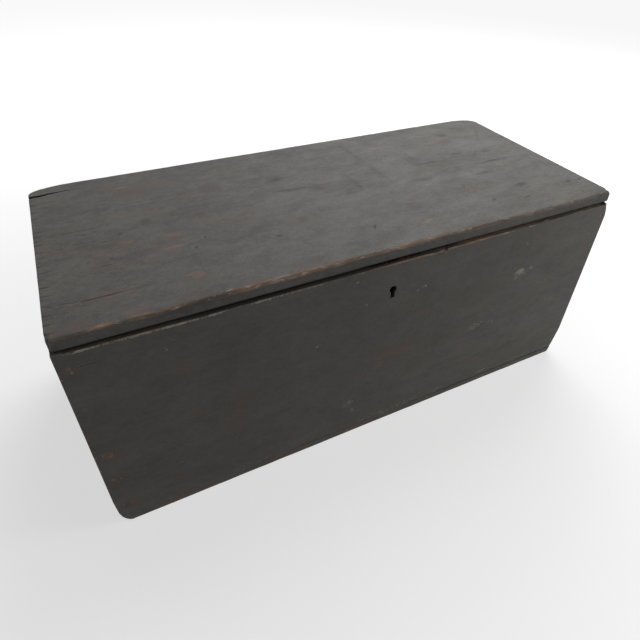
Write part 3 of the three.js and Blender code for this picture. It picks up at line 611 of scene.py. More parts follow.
def painted_plank(name, grain, pith, brown, figure, scratches=(), stains=(), bared=(), cracks=()):
    """Old paint on pine. Vertex values say where it is rubbed, edge-worn, scuffed, painted, and darkened by
    dirt and painted shade.
    """
    material, tree, shader = new_material(name)
    bare, bare_height = pine(tree, grain, pith)
    n = paint_noises(tree, grain)
    skin, worn, edge = worn_skin(tree, n, old_paint(tree, n, brown, figure))
    height = summed((n.fibres, 0.20), (n.streaks, 0.45 * figure), (n.patches, 0.35), (n.mottle, 0.30))
    height = plus(height, worn, 0.12, "SUBTRACT")
    skin, height = drawn_marks(tree, n, skin, height, scratches, stains, bared, cracks)
    # This value darkens real dirt along the seams, and paints shade in and over the gap under the lid
    dirt_and_shade = ranged(plus(attribute(tree, "dirt_and_shade"), n.uneven, 0.4), 0.45, 0.85)
    painted = plus(attribute(tree, "paint"), calc("SUBTRACT", n.uneven, 0.5), 0.8)
    painted = ranged(painted, 0.46, 0.54)
    colour = mixed(dirt_and_shade, mixed(painted, bare, skin), DIRT_AND_SHADE)
    sheen = ranged(n.patches, 0.30, 0.70, 0.58, 0.70)
    sheen = plus(sheen, calc("MAXIMUM", worn, edge), 0.14)
    relief = between(painted, bare_height, height)
    finished(shader, colour, between(painted, 0.78, sheen), relief, PAINT_RELIEF)
    return material


def bare_wood(name, pith, dirt_and_shade):
    """The walls of cuts along a board: bare pine, darkened by dirt, and in the keyhole by painted shade."""
    material, tree, shader = new_material(name)
    wood, height = pine(tree, 0, pith)
    grime_and_shade = cloud(placed_coords(tree), 120.0)
    shade = ranged(grime_and_shade, 0.2, 0.8, dirt_and_shade, min(1, dirt_and_shade + 0.3))
    finished(shader, mixed(shade, wood, DIRT_AND_SHADE), 0.85, height, WOOD_RELIEF)
    return material


def iron(name, body, rust_share, roughness, metal):
    """Forged iron with a dark scale, bright only where it rubs, and rust in patches."""
    material, tree, shader = new_material(name)
    coarse = cloud(placed_coords(tree), 60.0, 5.0, 0.62)
    fine = cloud(placed_coords(tree, shift=(1, 4, 2)), 420.0)
    pits = cloud(placed_coords(tree, shift=(2, 7, 5)), 900.0, 2.0, 0.5)
    scale = mixed(ranged(fine, 0.35, 0.70), IRON_DARK, body)
    rusty = mixed(ranged(fine, 0.40, 0.65), RUST_DEEP, RUST)
    spread = summed((coarse, 0.6), (fine, 0.4))
    share = ranged(spread, 0.62 - 0.25 * rust_share, 0.74 - 0.25 * rust_share)
    put(shader.inputs["Metallic"], ranged(share, 0, 1, metal, 0))
    rough = plus(ranged(share, 0, 1, roughness, 0.88), fine, 0.12)
    height = summed((coarse, 0.5), (pits, 0.3), (share, 0.25))
    finished(shader, mixed(share, scale, rusty), rough, height, IRON_RELIEF)
    return material


def painted_nail(name):
    """A nail head that was painted over with the chest, rubbed back to filler and rust in places."""
    material, tree, shader = new_material(name)
    fine = cloud(placed_coords(tree), 380.0, 4.0, 0.62)
    spots = cloud(placed_coords(tree, shift=(4, 4, 4)), 150.0)
    paint = mixed(fine, PAINT_BROWN, RUBBED_BRIGHT)
    rusty = mixed(ranged(fine, 0.40, 0.62), RUST_DEEP, RUST)
    share = ranged(spots, 0.56, 0.70, 0, 0.7)
    rough = ranged(share, 0, 1, 0.58, 0.88)
    finished(shader, mixed(share, paint, rusty), rough, plus(fine, share, 0.5), NAIL_RELIEF)
    return material


# Plank meshes: a fine grid on a box, whose arrises, faces and outline are then worn

def grid_lines(low, high, step, close=()):
    """Lines across a plank: evenly spaced, closer at both edges and round each (place, reach, step)."""
    found = list(np.linspace(low, high, max(2, round((high - low) / step) + 1)))
    found += [low + s for s in EDGE_STEPS] + [high - s for s in EDGE_STEPS]
    for place, reach, fine in close:
        found += list(np.arange(place - reach, place + reach + fine / 2, fine))
    found = sorted(v for v in found if low <= v <= high)
    apart = EDGE_STEPS[0] * LINE_GAP_SHARE
    kept = [low]
    for v in found:
        if v - kept[-1] > apart and high - v > apart:
            kept.append(v)
    return np.array(kept + [high])


def grid_box(xs, ys, zs):
    """The closed surface of a grid: its points, and quads that face out."""
    axes = (xs, ys, zs)
    counts = [len(a) for a in axes]
    quads = []
    for axis in range(3):
        u, v = (axis + 1) % 3, (axis + 2) % 3
        iu, iv = np.meshgrid(np.arange(counts[u] - 1), np.arange(counts[v] - 1), indexing="ij")
        for level, flip in ((0, True), (counts[axis] - 1, False)):
            corners = []
            for du, dv in ((0, 0), (1, 0), (1, 1), (0, 1)):
                index = [None] * 3
                index[axis] = np.full(iu.size, level)
                index[u] = (iu + du).ravel()
                index[v] = (iv + dv).ravel()
                corners.append((index[0] * counts[1] + index[1]) * counts[2] + index[2])
            quads.append(np.stack(corners[::-1] if flip else corners, axis=1))
    quads = np.concatenate(quads)
    used, flat = np.unique(quads, return_inverse=True)
    i, rest = np.divmod(used, counts[1] * counts[2])
    j, k = np.divmod(rest, counts[2])
    return np.stack([xs[i], ys[j], zs[k]], axis=1), flat.reshape(quads.shape)


def grid_plank(node, step, close=()):
    """A board's box as a grid, with closer lines along it where they are asked for."""
    low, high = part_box(node)
    return grid_box(*[grid_lines(low[axis], high[axis], step, () if axis else close) for axis in range(3)])


def smooth(value, low, high):
    t = np.clip((value - low) / (high - low), 0, 1)
    return t * t * (3 - 2 * t)


def fade(value, low, high):
    """1 up to low, 0 from high on."""
    return 1 - smooth(value, low, high)


def noise_at(points, scale, seed, stretch=(1, 1, 1)):
    """Smooth noise from about -1 to 1 at each point, drawn out along an axis where stretch is below 1."""
    moved = points * (np.array(stretch) * scale) + seed
    return np.array([noise.noise(p) for p in moved])


def noises(points, layers, stretch=(1, 1, 1)):
    """The sum of some layers of noise, each given as share, scale and seed."""
    return sum(share * noise_at(points, scale, seed, stretch) for share, scale, seed in layers)


def rounded(points, radius):
    """Points near an arris are drawn onto its rounding. radius has one value per point, so it can vary."""
    low, high = points.min(axis=0), points.max(axis=0)
    outward = np.where(points - low < high - points, -1.0, 1.0)
    side = np.where(outward < 0, low, high)
    gap = np.abs(points - side)
    r = radius[:, None]
    q = np.clip(1 - gap / r, 0, 1)
    size = np.maximum(np.linalg.norm(q, axis=1, keepdims=True), TINY)
    on_round = q * q.max(axis=1, keepdims=True) / size
    return np.where(q > 0, side - outward * r * (1 - on_round), points)


def worn_corner(points, a, b, corner, sides, reach):
    """Draws one corner of an outline in the plane of axes a and b onto an oval."""
    s = np.clip(1 - sides[0] * (corner[0] - points[:, a]) / reach[0], 0, 1)
    t = np.clip(1 - sides[1] * (corner[1] - points[:, b]) / reach[1], 0, 1)
    inside = (s > 0) & (t > 0)
    shrink = np.maximum(s, t) / np.maximum(np.hypot(s, t), TINY)
    moved = points.copy()
    moved[inside, a] = (corner[0] - sides[0] * reach[0] * (1 - s * shrink))[inside]
    moved[inside, b] = (corner[1] - sides[1] * reach[1] * (1 - t * shrink))[inside]
    return moved


def face_depth(rest, axis, side):
    """How far each point is behind one face of its plank."""
    return np.abs(rest[:, axis] - (rest.max(axis=0) if side > 0 else rest.min(axis=0))[axis])


def sunk(rest, points, axis, side, amount):
    """Moves one face inwards by amount, one value per point, fading out just behind that face."""
    moved = points.copy()
    moved[:, axis] -= side * amount * fade(face_depth(rest, axis, side), 0, FADE_DEPTH)
    return moved


def knocked(rest, points, knocks):
    """Draws corners in along the length, fading out over an end board's thickness."""
    moved = points.copy()
    for corner, ways, reach, roundness in knocks:
        left = [ways[axis] * (corner[axis] - rest[:, axis]) / reach[axis] for axis in (1, 2)]
        gone = np.clip(1 - sum(left), 0, 1)
        amount = reach[0] * ((1 - roundness) * gone + roundness * (1 - np.sqrt(1 - gone * gone)))
        within = 1 - np.clip(ways[0] * (corner[0] - rest[:, 0]) / END_THICKNESS, 0, 1)
        moved[:, 0] -= ways[0] * amount * within
    return moved


def weather(rest, points, outer, seed):
    """Slow waves and small ripples, all inwards, in each outer face (axis, side) of a plank."""
    for axis, side in outer:
        near = face_depth(rest, axis, side) < FADE_DEPTH
        amount = np.zeros(len(rest))
        waves = 1 + noise_at(rest[near], WAVE_SCALE, seed)
        ripples = 1 + noise_at(rest[near], RIPPLE_SCALE, seed)
        amount[near] = (WAVE_HEIGHT * waves + RIPPLE_HEIGHT * ripples) / 2
        points = sunk(rest, points, axis, side, np.clip(amount, 0, None))
    return points


def oval(points, a, b, centre, reach, turn=0.0):
    """1 at the centre of a soft oval in the plane of axes a and b, fading to 0 at its edge."""
    da, db = points[:, a] - centre[0], points[:, b] - centre[1]
    c, s = math.cos(math.radians(turn)), math.sin(math.radians(turn))
    far = np.hypot((da * c + db * s) / reach[0], (db * c - da * s) / reach[1])
    return fade(far, 0, 1)


# Cutters

def mesh_object(name, points, faces, material=None):
    mesh = bpy.data.meshes.new(name)
    mesh.from_pydata([tuple(p) for p in points], [], [tuple(int(i) for i in f) for f in faces])
    if material:
        mesh.materials.append(material)
    return linked(name, mesh)


def box_cutter(low, high, material):
    points, faces = grid_box(*[np.array([a, b]) for a, b in zip(low, high)])
    return mesh_object("cutter", points, faces, material)


def prism_cutter(outline, axis, low, high, material):
    """An anticlockwise outline in the other two axes, in turn after this one, pushed along this axis."""
    n = len(outline)
    points = []
    for w in (low, high):
        for u, v in outline:
            place = [0, 0, 0]
            place[axis], place[(axis + 1) % 3], place[(axis + 2) % 3] = w, u, v
            points.append(place)
    sides = [(i, (i + 1) % n, n + (i + 1) % n, n + i) for i in range(n)]
    ends = [tuple(range(n))[::-1], tuple(range(n, 2 * n))]
    return mesh_object("cutter", points, sides + ends, material)


def arc(u, v, radius, start, end, steps):
    turns = np.linspace(math.radians(start), math.radians(end), steps + 1)
    return [(u + radius * math.cos(t), v + radius * math.sin(t)) for t in turns]


def crack_cutter(start, end, mouth, depth, seed, material):
    """A crack in the lid's top: a thin wedge of wandering sides, widest at its start."""
    start, end = np.array(start), np.array(end)
    along = end - start
    across = np.array([-along[1], along[0]]) / np.linalg.norm(along)
    shares = np.linspace(0, 1, CRACK_STEPS + 1)
    left, right = [], []
    for i, share in enumerate(shares[:-1]):
        drift = CRACK_WANDER * noise.noise((seed, share * CRACK_BENDS, 0))
        half = mouth / 2 * (1 - share) * (1 + noise.noise((seed, 0, share * CRACK_BENDS)) / 2)
        middle = start + along * share + across * drift * min(1, i)
        left.append(tuple(middle + across * half))
        right.append(tuple(middle - across * half))
    outline = right + [tuple(end)] + left[::-1]
    return prism_cutter(outline, 2, LID_HIGH.z - depth, LID_HIGH.z + OVERRUN, material)


def cut_away(piece, cutters):
    """Takes the cutters out of a piece and deletes them. Each cut shows its cutter's material."""
    group = bpy.data.collections.new(piece.name + "_cutters")
    for cutter in cutters:
        group.objects.link(cutter)
    modifier = piece.modifiers.new("cut", "BOOLEAN")
    modifier.operation = "DIFFERENCE"
    modifier.operand_type = "COLLECTION"
    modifier.collection = group
    modifier.solver = "MANIFOLD"
    modifier.material_mode = "TRANSFER"
    graph = bpy.context.evaluated_depsgraph_get()
    graph.update()
    cut = bpy.data.meshes.new_from_object(piece.evaluated_get(graph))
    piece.modifiers.remove(modifier)
    old, piece.data = piece.data, cut
    bpy.data.meshes.remove(old)
    for cutter in cutters:
        bpy.data.meshes.remove(cutter.data)
    bpy.data.collections.remove(group)


def finish_plank(body, node, points, faces, material, attributes, cutters=()):
    """Makes a board's plank, takes the cutters out, gives it its vertex values and hands it to its body."""
    piece = mesh_object(node.replace("board", "plank"), points, faces, material)
    if cutters:
        cut_away(piece, cutters)
    mesh = piece.data
    points = np.empty(len(mesh.vertices) * 3)
    mesh.vertices.foreach_get("co", points)
    for name, values in attributes(points.reshape(-1, 3)).items():
        layer = mesh.attributes.new(name, "FLOAT", "POINT")
        layer.data.foreach_set("value", np.clip(values, 0, 1).astype(np.float32))
    mesh.polygons.foreach_set("use_smooth", [True] * len(mesh.polygons))
    mesh.set_sharp_from_angle(angle=math.radians(SHARP_ANGLE))
    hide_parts(node)
    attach(piece, body)


# Places on the chest, in millimetres as they were measured

def on_lid(x, from_front):
    """A place on the lid, from its middle and from its front."""
    return x * MM, CHEST_LOW.y + from_front * MM


def on_wall(along, up):
    """A place on a wall, from its middle and up from the floor."""
    return along * MM, up * MM


# Rubbed places: place, reach along, reach across, strength, and the turn in degrees where there is one
LID_RUBS = [
    (-398, 20, 32, 14, 0.62, 4), (-340, 18, 44, 12, 0.62), (-275, 15, 44, 10, 0.56),
    (-422, 16, 12, 16, 0.6), (-200, 14, 40, 9, 0.5), (-322, 166, 22, 17, 0.6),
    (-262, 158, 25, 18, 0.68, 10), (-272, 128, 42, 17, 0.6, 2), (-292, 112, 24, 9, 0.52),
    (-345, 58, 46, 8, 0.86, 1), (-260, 56, 28, 18, 0.62, 4), (-250, 46, 22, 8, 0.52),
    (-276, 330, 90, 38, 0.46), (-240, 320, 46, 22, 0.48), (-322, 334, 11, 34, 0.52, 8),
    (-292, 298, 46, 15, 0.5), (-310, 243, 90, 15, 0.52, 2), (-372, 228, 60, 10, 0.5),
    (-268, 224, 30, 14, 0.5), (-214, 207, 20, 12, 0.54), (-190, 274, 46, 16, 0.46),
    (-130, 226, 70, 9, 0.46, -3), (-66, 268, 26, 16, 0.56), (-50, 224, 46, 8, 0.54, -4),
    (-10, 208, 28, 18, 0.62), (-300, 190, 50, 10, 0.42), (136, 205, 24, 12, 0.5), (172, 196, 16, 30, 0.44),
    (160, 168, 46, 10, 0.42, 2), (282, 235, 22, 11, 0.58), (222, 118, 18, 12, 0.74),
    (338, 166, 20, 13, 0.62), (330, 68, 34, 12, 0.58, -6), (84, 52, 14, 12, 0.54),
    (312, 322, 40, 26, 0.5, -20), (290, 292, 30, 18, 0.46), (385, 344, 12, 8, 0.5),
    (-90, 130, 70, 26, 0.36, 8), (60, 70, 90, 22, 0.34, -4), (150, 320, 60, 26, 0.36, -15),
    (240, 214, 60, 8, 0.46),
]
FRONT_RUBS = [
    (-419, 315, 14, 12, 0.98), (-412, 156, 26, 17, 0.84, 4), (-411, 104, 24, 15, 0.76, 4),
    (-412, 42, 26, 24, 0.74, 10), (-426, 206, 9, 8, 0.62), (428, 318, 6, 20, 0.7), (422, 250, 14, 16, 0.84),
    (428, 162, 9, 26, 0.8), (0, 185, 36, 40, 0.42), (46, 165, 36, 50, 0.44), (-44, 134, 26, 22, 0.5, 30),
    (10, 158, 60, 27, 0.64, 30), (-96, 72, 16, 40, 0.46), (-42, 281, 18, 9, 0.52), (60, 283, 20, 10, 0.48),
    (-240, 150, 50, 90, 0.42), (-300, 186, 40, 20, 0.4), (-340, 62, 26, 30, 0.46),
    (-175, 205, 26, 20, 0.42), (96, 322, 8, 6, 0.6), (170, 212, 44, 20, 0.42, -20),
    (170, 120, 60, 24, 0.42, -25), (300, 150, 40, 36, 0.4, 10), (-300, 270, 60, 40, 0.4),
    (220, 60, 60, 26, 0.42, -25), (-30, 230, 20, 30, 0.42), (70, 230, 60, 20, 0.36, -10),
    (-160, 60, 40, 30, 0.4), (220, 282, 30, 16, 0.42), (100, 50, 40, 24, 0.4),
]

# Pale scuffs, in the same order
LID_SCUFFS = [
    (330, 70, 22, 8, 0.4, -8), (-264, 61, 22, 6, 0.34), (-262, 160, 16, 7, 0.4), (282, 60, 12, 8, 0.34),
    (384, 344, 8, 6, 0.44), (338, 168, 14, 7, 0.38),
]
FRONT_SCUFFS = [
    (261, 252, 21, 13, 0.76), (284, 253, 10, 8, 0.66), (258, 241, 18, 9, 0.54), (262, 246, 36, 22, 0.52),
    (300, 256, 18, 6, 0.44), (258, 309, 8, 9, 0.56), (-56, 325, 12, 7, 0.6, -15), (62, 284, 14, 6, 0.6),
    (83, 340, 16, 5, 0.6), (50, 280, 8, 6, 0.56), (-114, 231, 18, 7, 0.56), (190, 158, 50, 17, 0.5, 14),
    (226, 152, 24, 15, 0.44, -30), (235, 24, 60, 6, 0.54), (130, 23, 60, 5, 0.48), (350, 23, 60, 5, 0.46),
    (-56, 80, 26, 24, 0.46, 60), (-50, 60, 14, 30, 0.42, 20), (150, 108, 14, 8, 0.4),
    (-40, 282, 14, 6, 0.52), (60, 22, 330, 7, 0.4), (-200, 20, 130, 5, 0.36), (-418, 314, 8, 6, 0.6),
    (-413, 157, 14, 8, 0.5), (-410, 104, 10, 7, 0.46), (423, 249, 8, 7, 0.48), (-314, 308, 24, 4, 0.5, -35),
    (-330, 90, 10, 10, 0.44), (330, 210, 60, 20, 0.34, 10), (360, 160, 40, 12, 0.36, -20),
]
# Rubbed and scuffed places on the back and on both ends
BACK_MARKS = [
    (-417, 316, 15, 11, 0.8, 10), (-419, 214, 12, 10, 0.74), (-420, 96, 13, 12, 0.78),
    (418, 300, 13, 11, 0.8), (421, 190, 12, 12, 0.72), (417, 70, 15, 12, 0.8, -10),
    (-150, 190, 60, 9, 0.58, 4), (120, 236, 44, 8, 0.56, -6), (240, 120, 30, 20, 0.5, 20),
    (-300, 60, 46, 14, 0.6, -4), (40, 40, 80, 10, 0.58), (330, 44, 50, 12, 0.6, 6),
    (-40, 305, 70, 8, 0.56, 2), (-240, 270, 24, 16, 0.5), (0, 120, 34, 16, 0.46, 30),
]
END_MARKS = [
    (-120, 300, 26, 10, 0.62, 6), (60, 250, 40, 8, 0.56, -5), (130, 150, 18, 24, 0.56),
    (-60, 110, 34, 10, 0.54, 12), (0, 36, 60, 12, 0.6), (100, 60, 24, 14, 0.56, -20),
    (-150, 190, 12, 30, 0.56), (10, 190, 24, 9, 0.46, -18),
]
# Dents in the lid's top, with their depth for strength
LID_DENTS = [
    (349, 225, 15, 5, 1.2), (307, 86, 16, 5, 1.4, 2), (276, 151, 13, 5, 1, -4), (393, 63, 9, 6, 1.2, 10),
    (337, 182, 54, 4, 0.8, 1), (160, 169, 28, 4, 0.8, -2), (5, 66, 8, 4, 0.5, 55), (200, 210, 10, 9, 0.5),
    (-300, 290, 60, 16, 0.4, 6), (-60, 140, 50, 22, 0.4, -8), (60, 290, 70, 24, 0.4),
    (-180, 60, 34, 12, 0.4),
]

# Cracks drawn on the lid's top: place, reach along, reach across, turn
LID_CRACKS = [
    (342, 226, 17, 11), (305, 86, 16, 8, 2), (277, 149, 26, 6.5, 3), (392, 62, 10, 6, 10),
    (330, 184, 54, 5.6, 2), (160, 168, 32, 9, -1), (5, 66, 8, 3, 55), (-412, 352, 42, 6, 3),
    (-424, 63, 12, 3.6), (-405, 62, 28, 1.8, -4), (-380, 222, 50, 1.4, -1), (-372, 208, 5, 3, 20),
    (-328, 191, 6, 3, 30), (-347, 180, 7, 2.6), (-374, 136, 6, 3, 40), (-347, 135, 5, 3),
    (-242, 119, 6, 4, 60), (-224, 139, 5, 3, 70), (-383, 253, 8, 2.4), (-402, 183, 8, 2.6),
    (-275, 244, 7, 2.4, 10), (-338, 288, 8, 2.6), (-130, 100, 6, 2.4), (210, 120, 6, 3, 60),
    (-60, 222, 60, 2.6, -3), (280, 236, 18, 5, 2), (212, 221, 46, 3.6, -2), (422, 82, 8, 3.6),
    (418, 62, 8, 3.6), (284, 48, 14, 2.4, 10), (226, 62, 8, 2.4, 40), (-352, 122, 18, 1.4, 2),
]
# Checks at both ends of the lid: place from its front, reach along
LEFT_CHECKS = [
    (16, 12), (31, 16), (48, 9), (66, 15), (86, 11), (104, 14), (121, 8), (136, 17), (171, 12), (204, 20),
    (216, 12), (240, 15), (278, 11), (299, 16), (322, 10),
]
RIGHT_CHECKS = [
    (40, 9), (122, 11), (158, 8), (236, 12), (270, 9),
]
CHECK_PLACE = 430
CHECK_WIDTH = 2.2
LID_CRACKS += [(-CHECK_PLACE, place, reach, CHECK_WIDTH) for place, reach in LEFT_CHECKS]
LID_CRACKS += [(CHECK_PLACE, place, reach, CHECK_WIDTH) for place, reach in RIGHT_CHECKS]
# Stains, bared places and scratches there, in the same order
LID_STAINS = [
    (100, 318, 60, 8, -87), (105, 230, 66, 9, -87), (49, 212, 38, 7, -88), (155, 335, 22, 6, -55),
    (183, 240, 40, 7, -85), (315, 222, 36, 5, 42), (130, 162, 15, 11), (-70, 224, 46, 7, -17),
    (312, 322, 22, 13, -16), (281, 232, 18, 12, 2), (388, 304, 52, 6, 56), (-14, 212, 26, 15, 6),
    (-66, 268, 24, 16), (-116, 222, 18, 22), (-175, 280, 26, 26), (190, 245, 9, 44, -6), (136, 168, 16, 14),
    (152, 340, 18, 18), (-247, 88, 6, 22), (-150, 130, 14, 12), (-78, 128, 12, 14), (96, 96, 24, 18),
    (-212, 206, 14, 9), (-356, 59.5, 44, 2.4, 1), (-318, 59.5, 20, 4.2, 4), (300, 292, 26, 18, 30),
    (-288, 212, 10, 16), (95, 268, 18, 16),
]
LID_BARED = [
    (-344, 59.5, 46, 4.6, 1), (-262, 160, 18, 8), (-268, 130, 22, 6, 3), (-322, 167, 12, 6),
    (-256, 58, 14, 8), (-300, 332, 20, 7), (222, 118, 10, 6), (332, 168, 14, 7), (324, 70, 22, 6, -6),
    (284, 58, 10, 4), (88, 50, 12, 5, 30),
]
LID_SCRATCHES = [
    (-150, 56, 44, 0.9, 24), (-330, 292, 40, 0.9, 64), (396, 130, 40, 0.9, 74), (30, 336, 44, 0.9, 20),
    (-200, 168, 36, 0.9, -34), (230, 280, 44, 0.9, 30),
]
# Cracks and scratches drawn on the front's face
FRONT_CRACKS = [
    (240, 14.4, 190, 2.2), (-150, 14, 200, 1.2), (380, 210, 50, 0.9), (-400, 320, 24, 0.9),
]
FRONT_SCRATCHES = [
    (-58, 80, 36, 1, 66), (-120, 150, 50, 0.9, 28), (196, 160, 30, 1.2, 18), (-300, 230, 44, 0.9, 60),
    (300, 120, 50, 0.9, -24), (30, 60, 60, 0.9, -14), (-300, 316, 50, 1.2, -40),
]


def most(points, a, b, place, spots):
    """The greatest of many soft ovals at each point."""
    found = np.zeros(len(points))
    for u, v, along, across, strength, *turn in spots:
        here = strength * oval(points, a, b, place(u, v), mm(along, across), *turn)
        found = np.maximum(found, here)
    return found


def drawn_on_lid(lines):
    """Ovals in the lid's top for the shader: centre, reach and turn."""
    found = []
    for x, y, along, across, *turn in lines:
        centre = (*on_lid(x, y), LID_HIGH.z)
        found.append((centre, (*mm(along, across), MARK_DEPTH), (0, 0, math.radians(sum(turn)))))
    return found


def drawn_on_front(lines):
    found = []
    for x, z, along, up, *turn in lines:
        centre = (x * MM, FRONT_LOW.y, z * MM)
        found.append((centre, (along * MM, MARK_DEPTH, up * MM), (0, -math.radians(sum(turn)), 0)))
    return found


def varied(pair, value):
    """A base and what a varying value adds to it."""
    return pair[0] + pair[1] * value


def wandering(value, span, wander):
    """As fade, over a span whose far end wanders."""
    return fade(value, span[0], span[1] * wander)


# The lid

def lid_radius(rest):
    """How far each arris of the lid is rounded: most along the front, and where fingers lift it."""
    wobble = noises(rest, LID_WOBBLE, ARRIS_STRETCH)
    finger = smooth(1 - np.abs(rest[:, 0] - FINGER_PLACE) / FINGER_REACH, 0, FINGER_BLEND_SHARE)
    top = LID_TOP_ARRIS * (1 + 0.22 * wobble + 0.2 * finger)
    foot = LID_LOWER_ARRIS * (1 + 0.25 * wobble) + FINGER_WEAR * finger
    chips = np.clip(noises(rest, LID_CHIPS, FLAT_STRETCH), 0, 1)
    other = LID_END_ARRIS * (1 + 0.8 * chips + 0.3 * wobble)
    upper = rest[:, 2] > (LID_LOW.z + LID_HIGH.z) / 2
    in_front = rest[:, 1] < LID_LOW.y + 3 * LID_TOP_ARRIS
    return np.where(in_front, np.where(upper, top, foot), other)


def lid_values(points):
    x, y, z = points.T
    from_front, from_top, from_foot = y - LID_LOW.y, LID_HIGH.z - z, z - LID_LOW.z
    to_side = np.minimum(LID_HIGH.x - np.abs(x), LID_HIGH.y - y)
    on_top = fade(from_top, *LID_SPANS["top"])
    band = LID_BAND * (1 + noises(points, LID_WANDER, ALONG))
    edge = np.interp(x, BAND_PLACES, BAND_SHARES) * fade(from_front, 0.25 * band, band) * on_top
    edge = np.maximum(edge, SIDE_WEAR_SHARE * fade(to_side, *LID_SPANS["side"]))
    under = fade(from_foot, *LID_SPANS["underside"])
    under *= smooth(np.minimum(to_side, from_front), *LID_SPANS["rim"])
    # Painted shade over the gap: the lid's front face darkens towards its lower edge, and its lowest edge
    # (lip) darkest
    grime_and_shade = LOWER_SHADE_SHARE * fade(from_foot, *LID_SPANS["grime_and_shade"]) * smooth(x, *LID_SPANS["lower_shade_along"])
    dull = DULL_SHARE * (1 - on_top) * smooth(x, *LID_SPANS["dull_along"])
    dirt_and_shade = np.maximum(np.maximum(grime_and_shade, dull), fade(from_foot, *LID_SPANS["lip"]))
    return {"rub": most(points, 0, 1, on_lid, LID_RUBS) * on_top, "edge": edge,
            "scuff": most(points, 0, 1, on_lid, LID_SCUFFS) * on_top,
            "dirt_and_shade": dirt_and_shade * fade(from_front, *LID_SPANS["depth"]), "paint": 1 - under}


def make_lid(material, raw, crack_wall):
    close = [(place, LID_FINE_REACH, LID_FINE_STEP) for place in LID_FINE_PLACES]
    rest, faces = grid_plank("lid_board", PLANK_STEP, close)
    points = rounded(rest, lid_radius(rest))
    for (side_x, side_y), reach in LID_CORNERS.items():
        corner = ((LID_HIGH if side_x > 0 else LID_LOW).x, (LID_HIGH if side_y > 0 else LID_LOW).y)
        points = worn_corner(points, 0, 1, corner, (side_x, side_y), reach)
    points = weather(rest, points, [(0, -1), (0, 1), (1, -1), (1, 1), (2, 1)], SEEDS["lid"])
    points = sunk(rest, points, 2, 1, most(points, 0, 1, on_lid, LID_DENTS) * MM)
    cutters = hinge_cutters(raw) + [back_bevel_cutter(1, crack_wall), strike_cutter(raw)]
    for i, (start, end, mouth, depth) in enumerate(LID_SPLITS):
        seed = SEEDS["splits"] + i
        cutters.append(crack_cutter(on_lid(*start), on_lid(*end), *mm(mouth, depth), seed, crack_wall))
    finish_plank("lid", "lid_board", points, faces, material, lid_values, cutters)


# Recesses for the iron

def hinge_cutters(material):
    """For each hinge, a recess for its leaves and a round one for its knuckles."""
    y, z = HINGE_AXIS.y, HINGE_AXIS.z
    thick = HINGE_LEAF + FIT
    barrel = arc(y, z, HINGE_RADIUS + 2 * FIT, 0, 360 - 360 / ROUND_SIDES, ROUND_SIDES - 1)
    cutters = []
    for side in ("left", "right"):
        low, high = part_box(f"{side}_hinge_body_leaf")
        left, right = low.x - FIT, high.x + FIT
        cutters.append(box_cutter((left, low.y - FIT, z - thick), (right, y, z + thick), material))
        cutters.append(prism_cutter(barrel, 0, left, right, material))
    return cutters


def back_bevel_cutter(side, material):
    """The bevel along the back joint, with its point on the hinge axis: side 1 in the lid, -1 in the back."""
    reach = HINGE_RADIUS + OVERRUN
    rise = side * reach * math.tan(math.radians(BACK_BEVEL_ANGLE))
    y, z = HINGE_AXIS.y, HINGE_AXIS.z
    outline = [(y, z), (y + reach, z), (y + reach, z + rise)][::side]
    return prism_cutter(outline, 0, CHEST_LOW.x - OVERRUN, CHEST_HIGH.x + OVERRUN, material)


def strike_cutter(material):
    """The recess for the strike plate alone, not for the eyes that hang from it."""
    low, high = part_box("strike_plate")
    foot = (low.x - FIT, low.y - FIT, LID_LOW.z - OVERRUN)
    return box_cutter(foot, (high.x + FIT, high.y + FIT, high.z + FIT), material)


def lock_cutters(material):
    """Recesses behind the lock's plate, round its case, and above the case for the plate's turned top."""
    plate_low, plate_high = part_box("lock_plate")
    case_low, case_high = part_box("lock_case")
    back, top = plate_high.y + OVERRUN, plate_high.z + OVERRUN
    recesses = [
        (plate_low.x, plate_high.x, case_high.y, plate_low.z),
        (case_low.x, case_high.x, case_low.y, case_low.z),
        (plate_low.x, plate_high.x, plate_low.y, case_high.z),
    ]
    return [box_cutter((left - FIT, front - FIT, foot - FIT), (right + FIT, back, top), material)
            for left, right, front, foot in recesses]


def keyhole_cutter(material):
    """A round head over a slot that widens a little upwards, its edges worn by the key."""
    half = KEYHOLE_SLOT / 2
    turn = math.degrees(math.asin(half / KEYHOLE_RADIUS))
    head = arc(KEY_PIN.x, KEY_PIN.z, KEYHOLE_RADIUS, -90 + turn, 270 - turn, ROUND_SIDES)
    foot = [(KEY_PIN.x - half, KEY_PIN.z - KEYHOLE_REACH), (KEY_PIN.x + half, KEY_PIN.z - KEYHOLE_REACH)]
    outline = [(v, u) for u, v in head + foot][::-1]
    return prism_cutter(outline, 1, CHEST_LOW.y - OVERRUN, KEY_PIN.y, material)


def nails_in(wall):
    """The boxes of the nails that show in a wall."""
    return [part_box(name) for name in frame["nodes"] if name.startswith(f"{wall}_") and "_nail_" in name]


def nail_cutters(wall, material):
    """A square hole over each of those nails."""
    face, out = (CHEST_LOW.y, -1) if wall == "front" else (CHEST_HIGH.y, 1)
    near, far = sorted((face + out * OVERRUN, face - out * NAIL_HOLE_DEPTH))
    cutters = []
    for low, high in nails_in(wall):
        half = (high.x - low.x) / 2 + NAIL_GAP
        x, _, z = (low + high) / 2
        cutters.append(box_cutter((x - half, near, z - half), (x + half, far, z + half), material))
    return cutters


# The front board

def chip_share(points):
    """How deep the chip is at each point, from 0 to 1."""
    along = np.interp(points[:, 0], CHIP_PLACES, (0, 1, 0))
    return along * fade(points[:, 1] - FRONT_LOW.y, *CHIP_ACROSS)


def front_drop(points):
    """How far the front board's top edge has worn down, with a chip out of its outer side."""
    return np.interp(points[:, 0], HOLLOW_PLACES, HOLLOW_DEPTHS) + CHIP_DEPTH * chip_share(points)


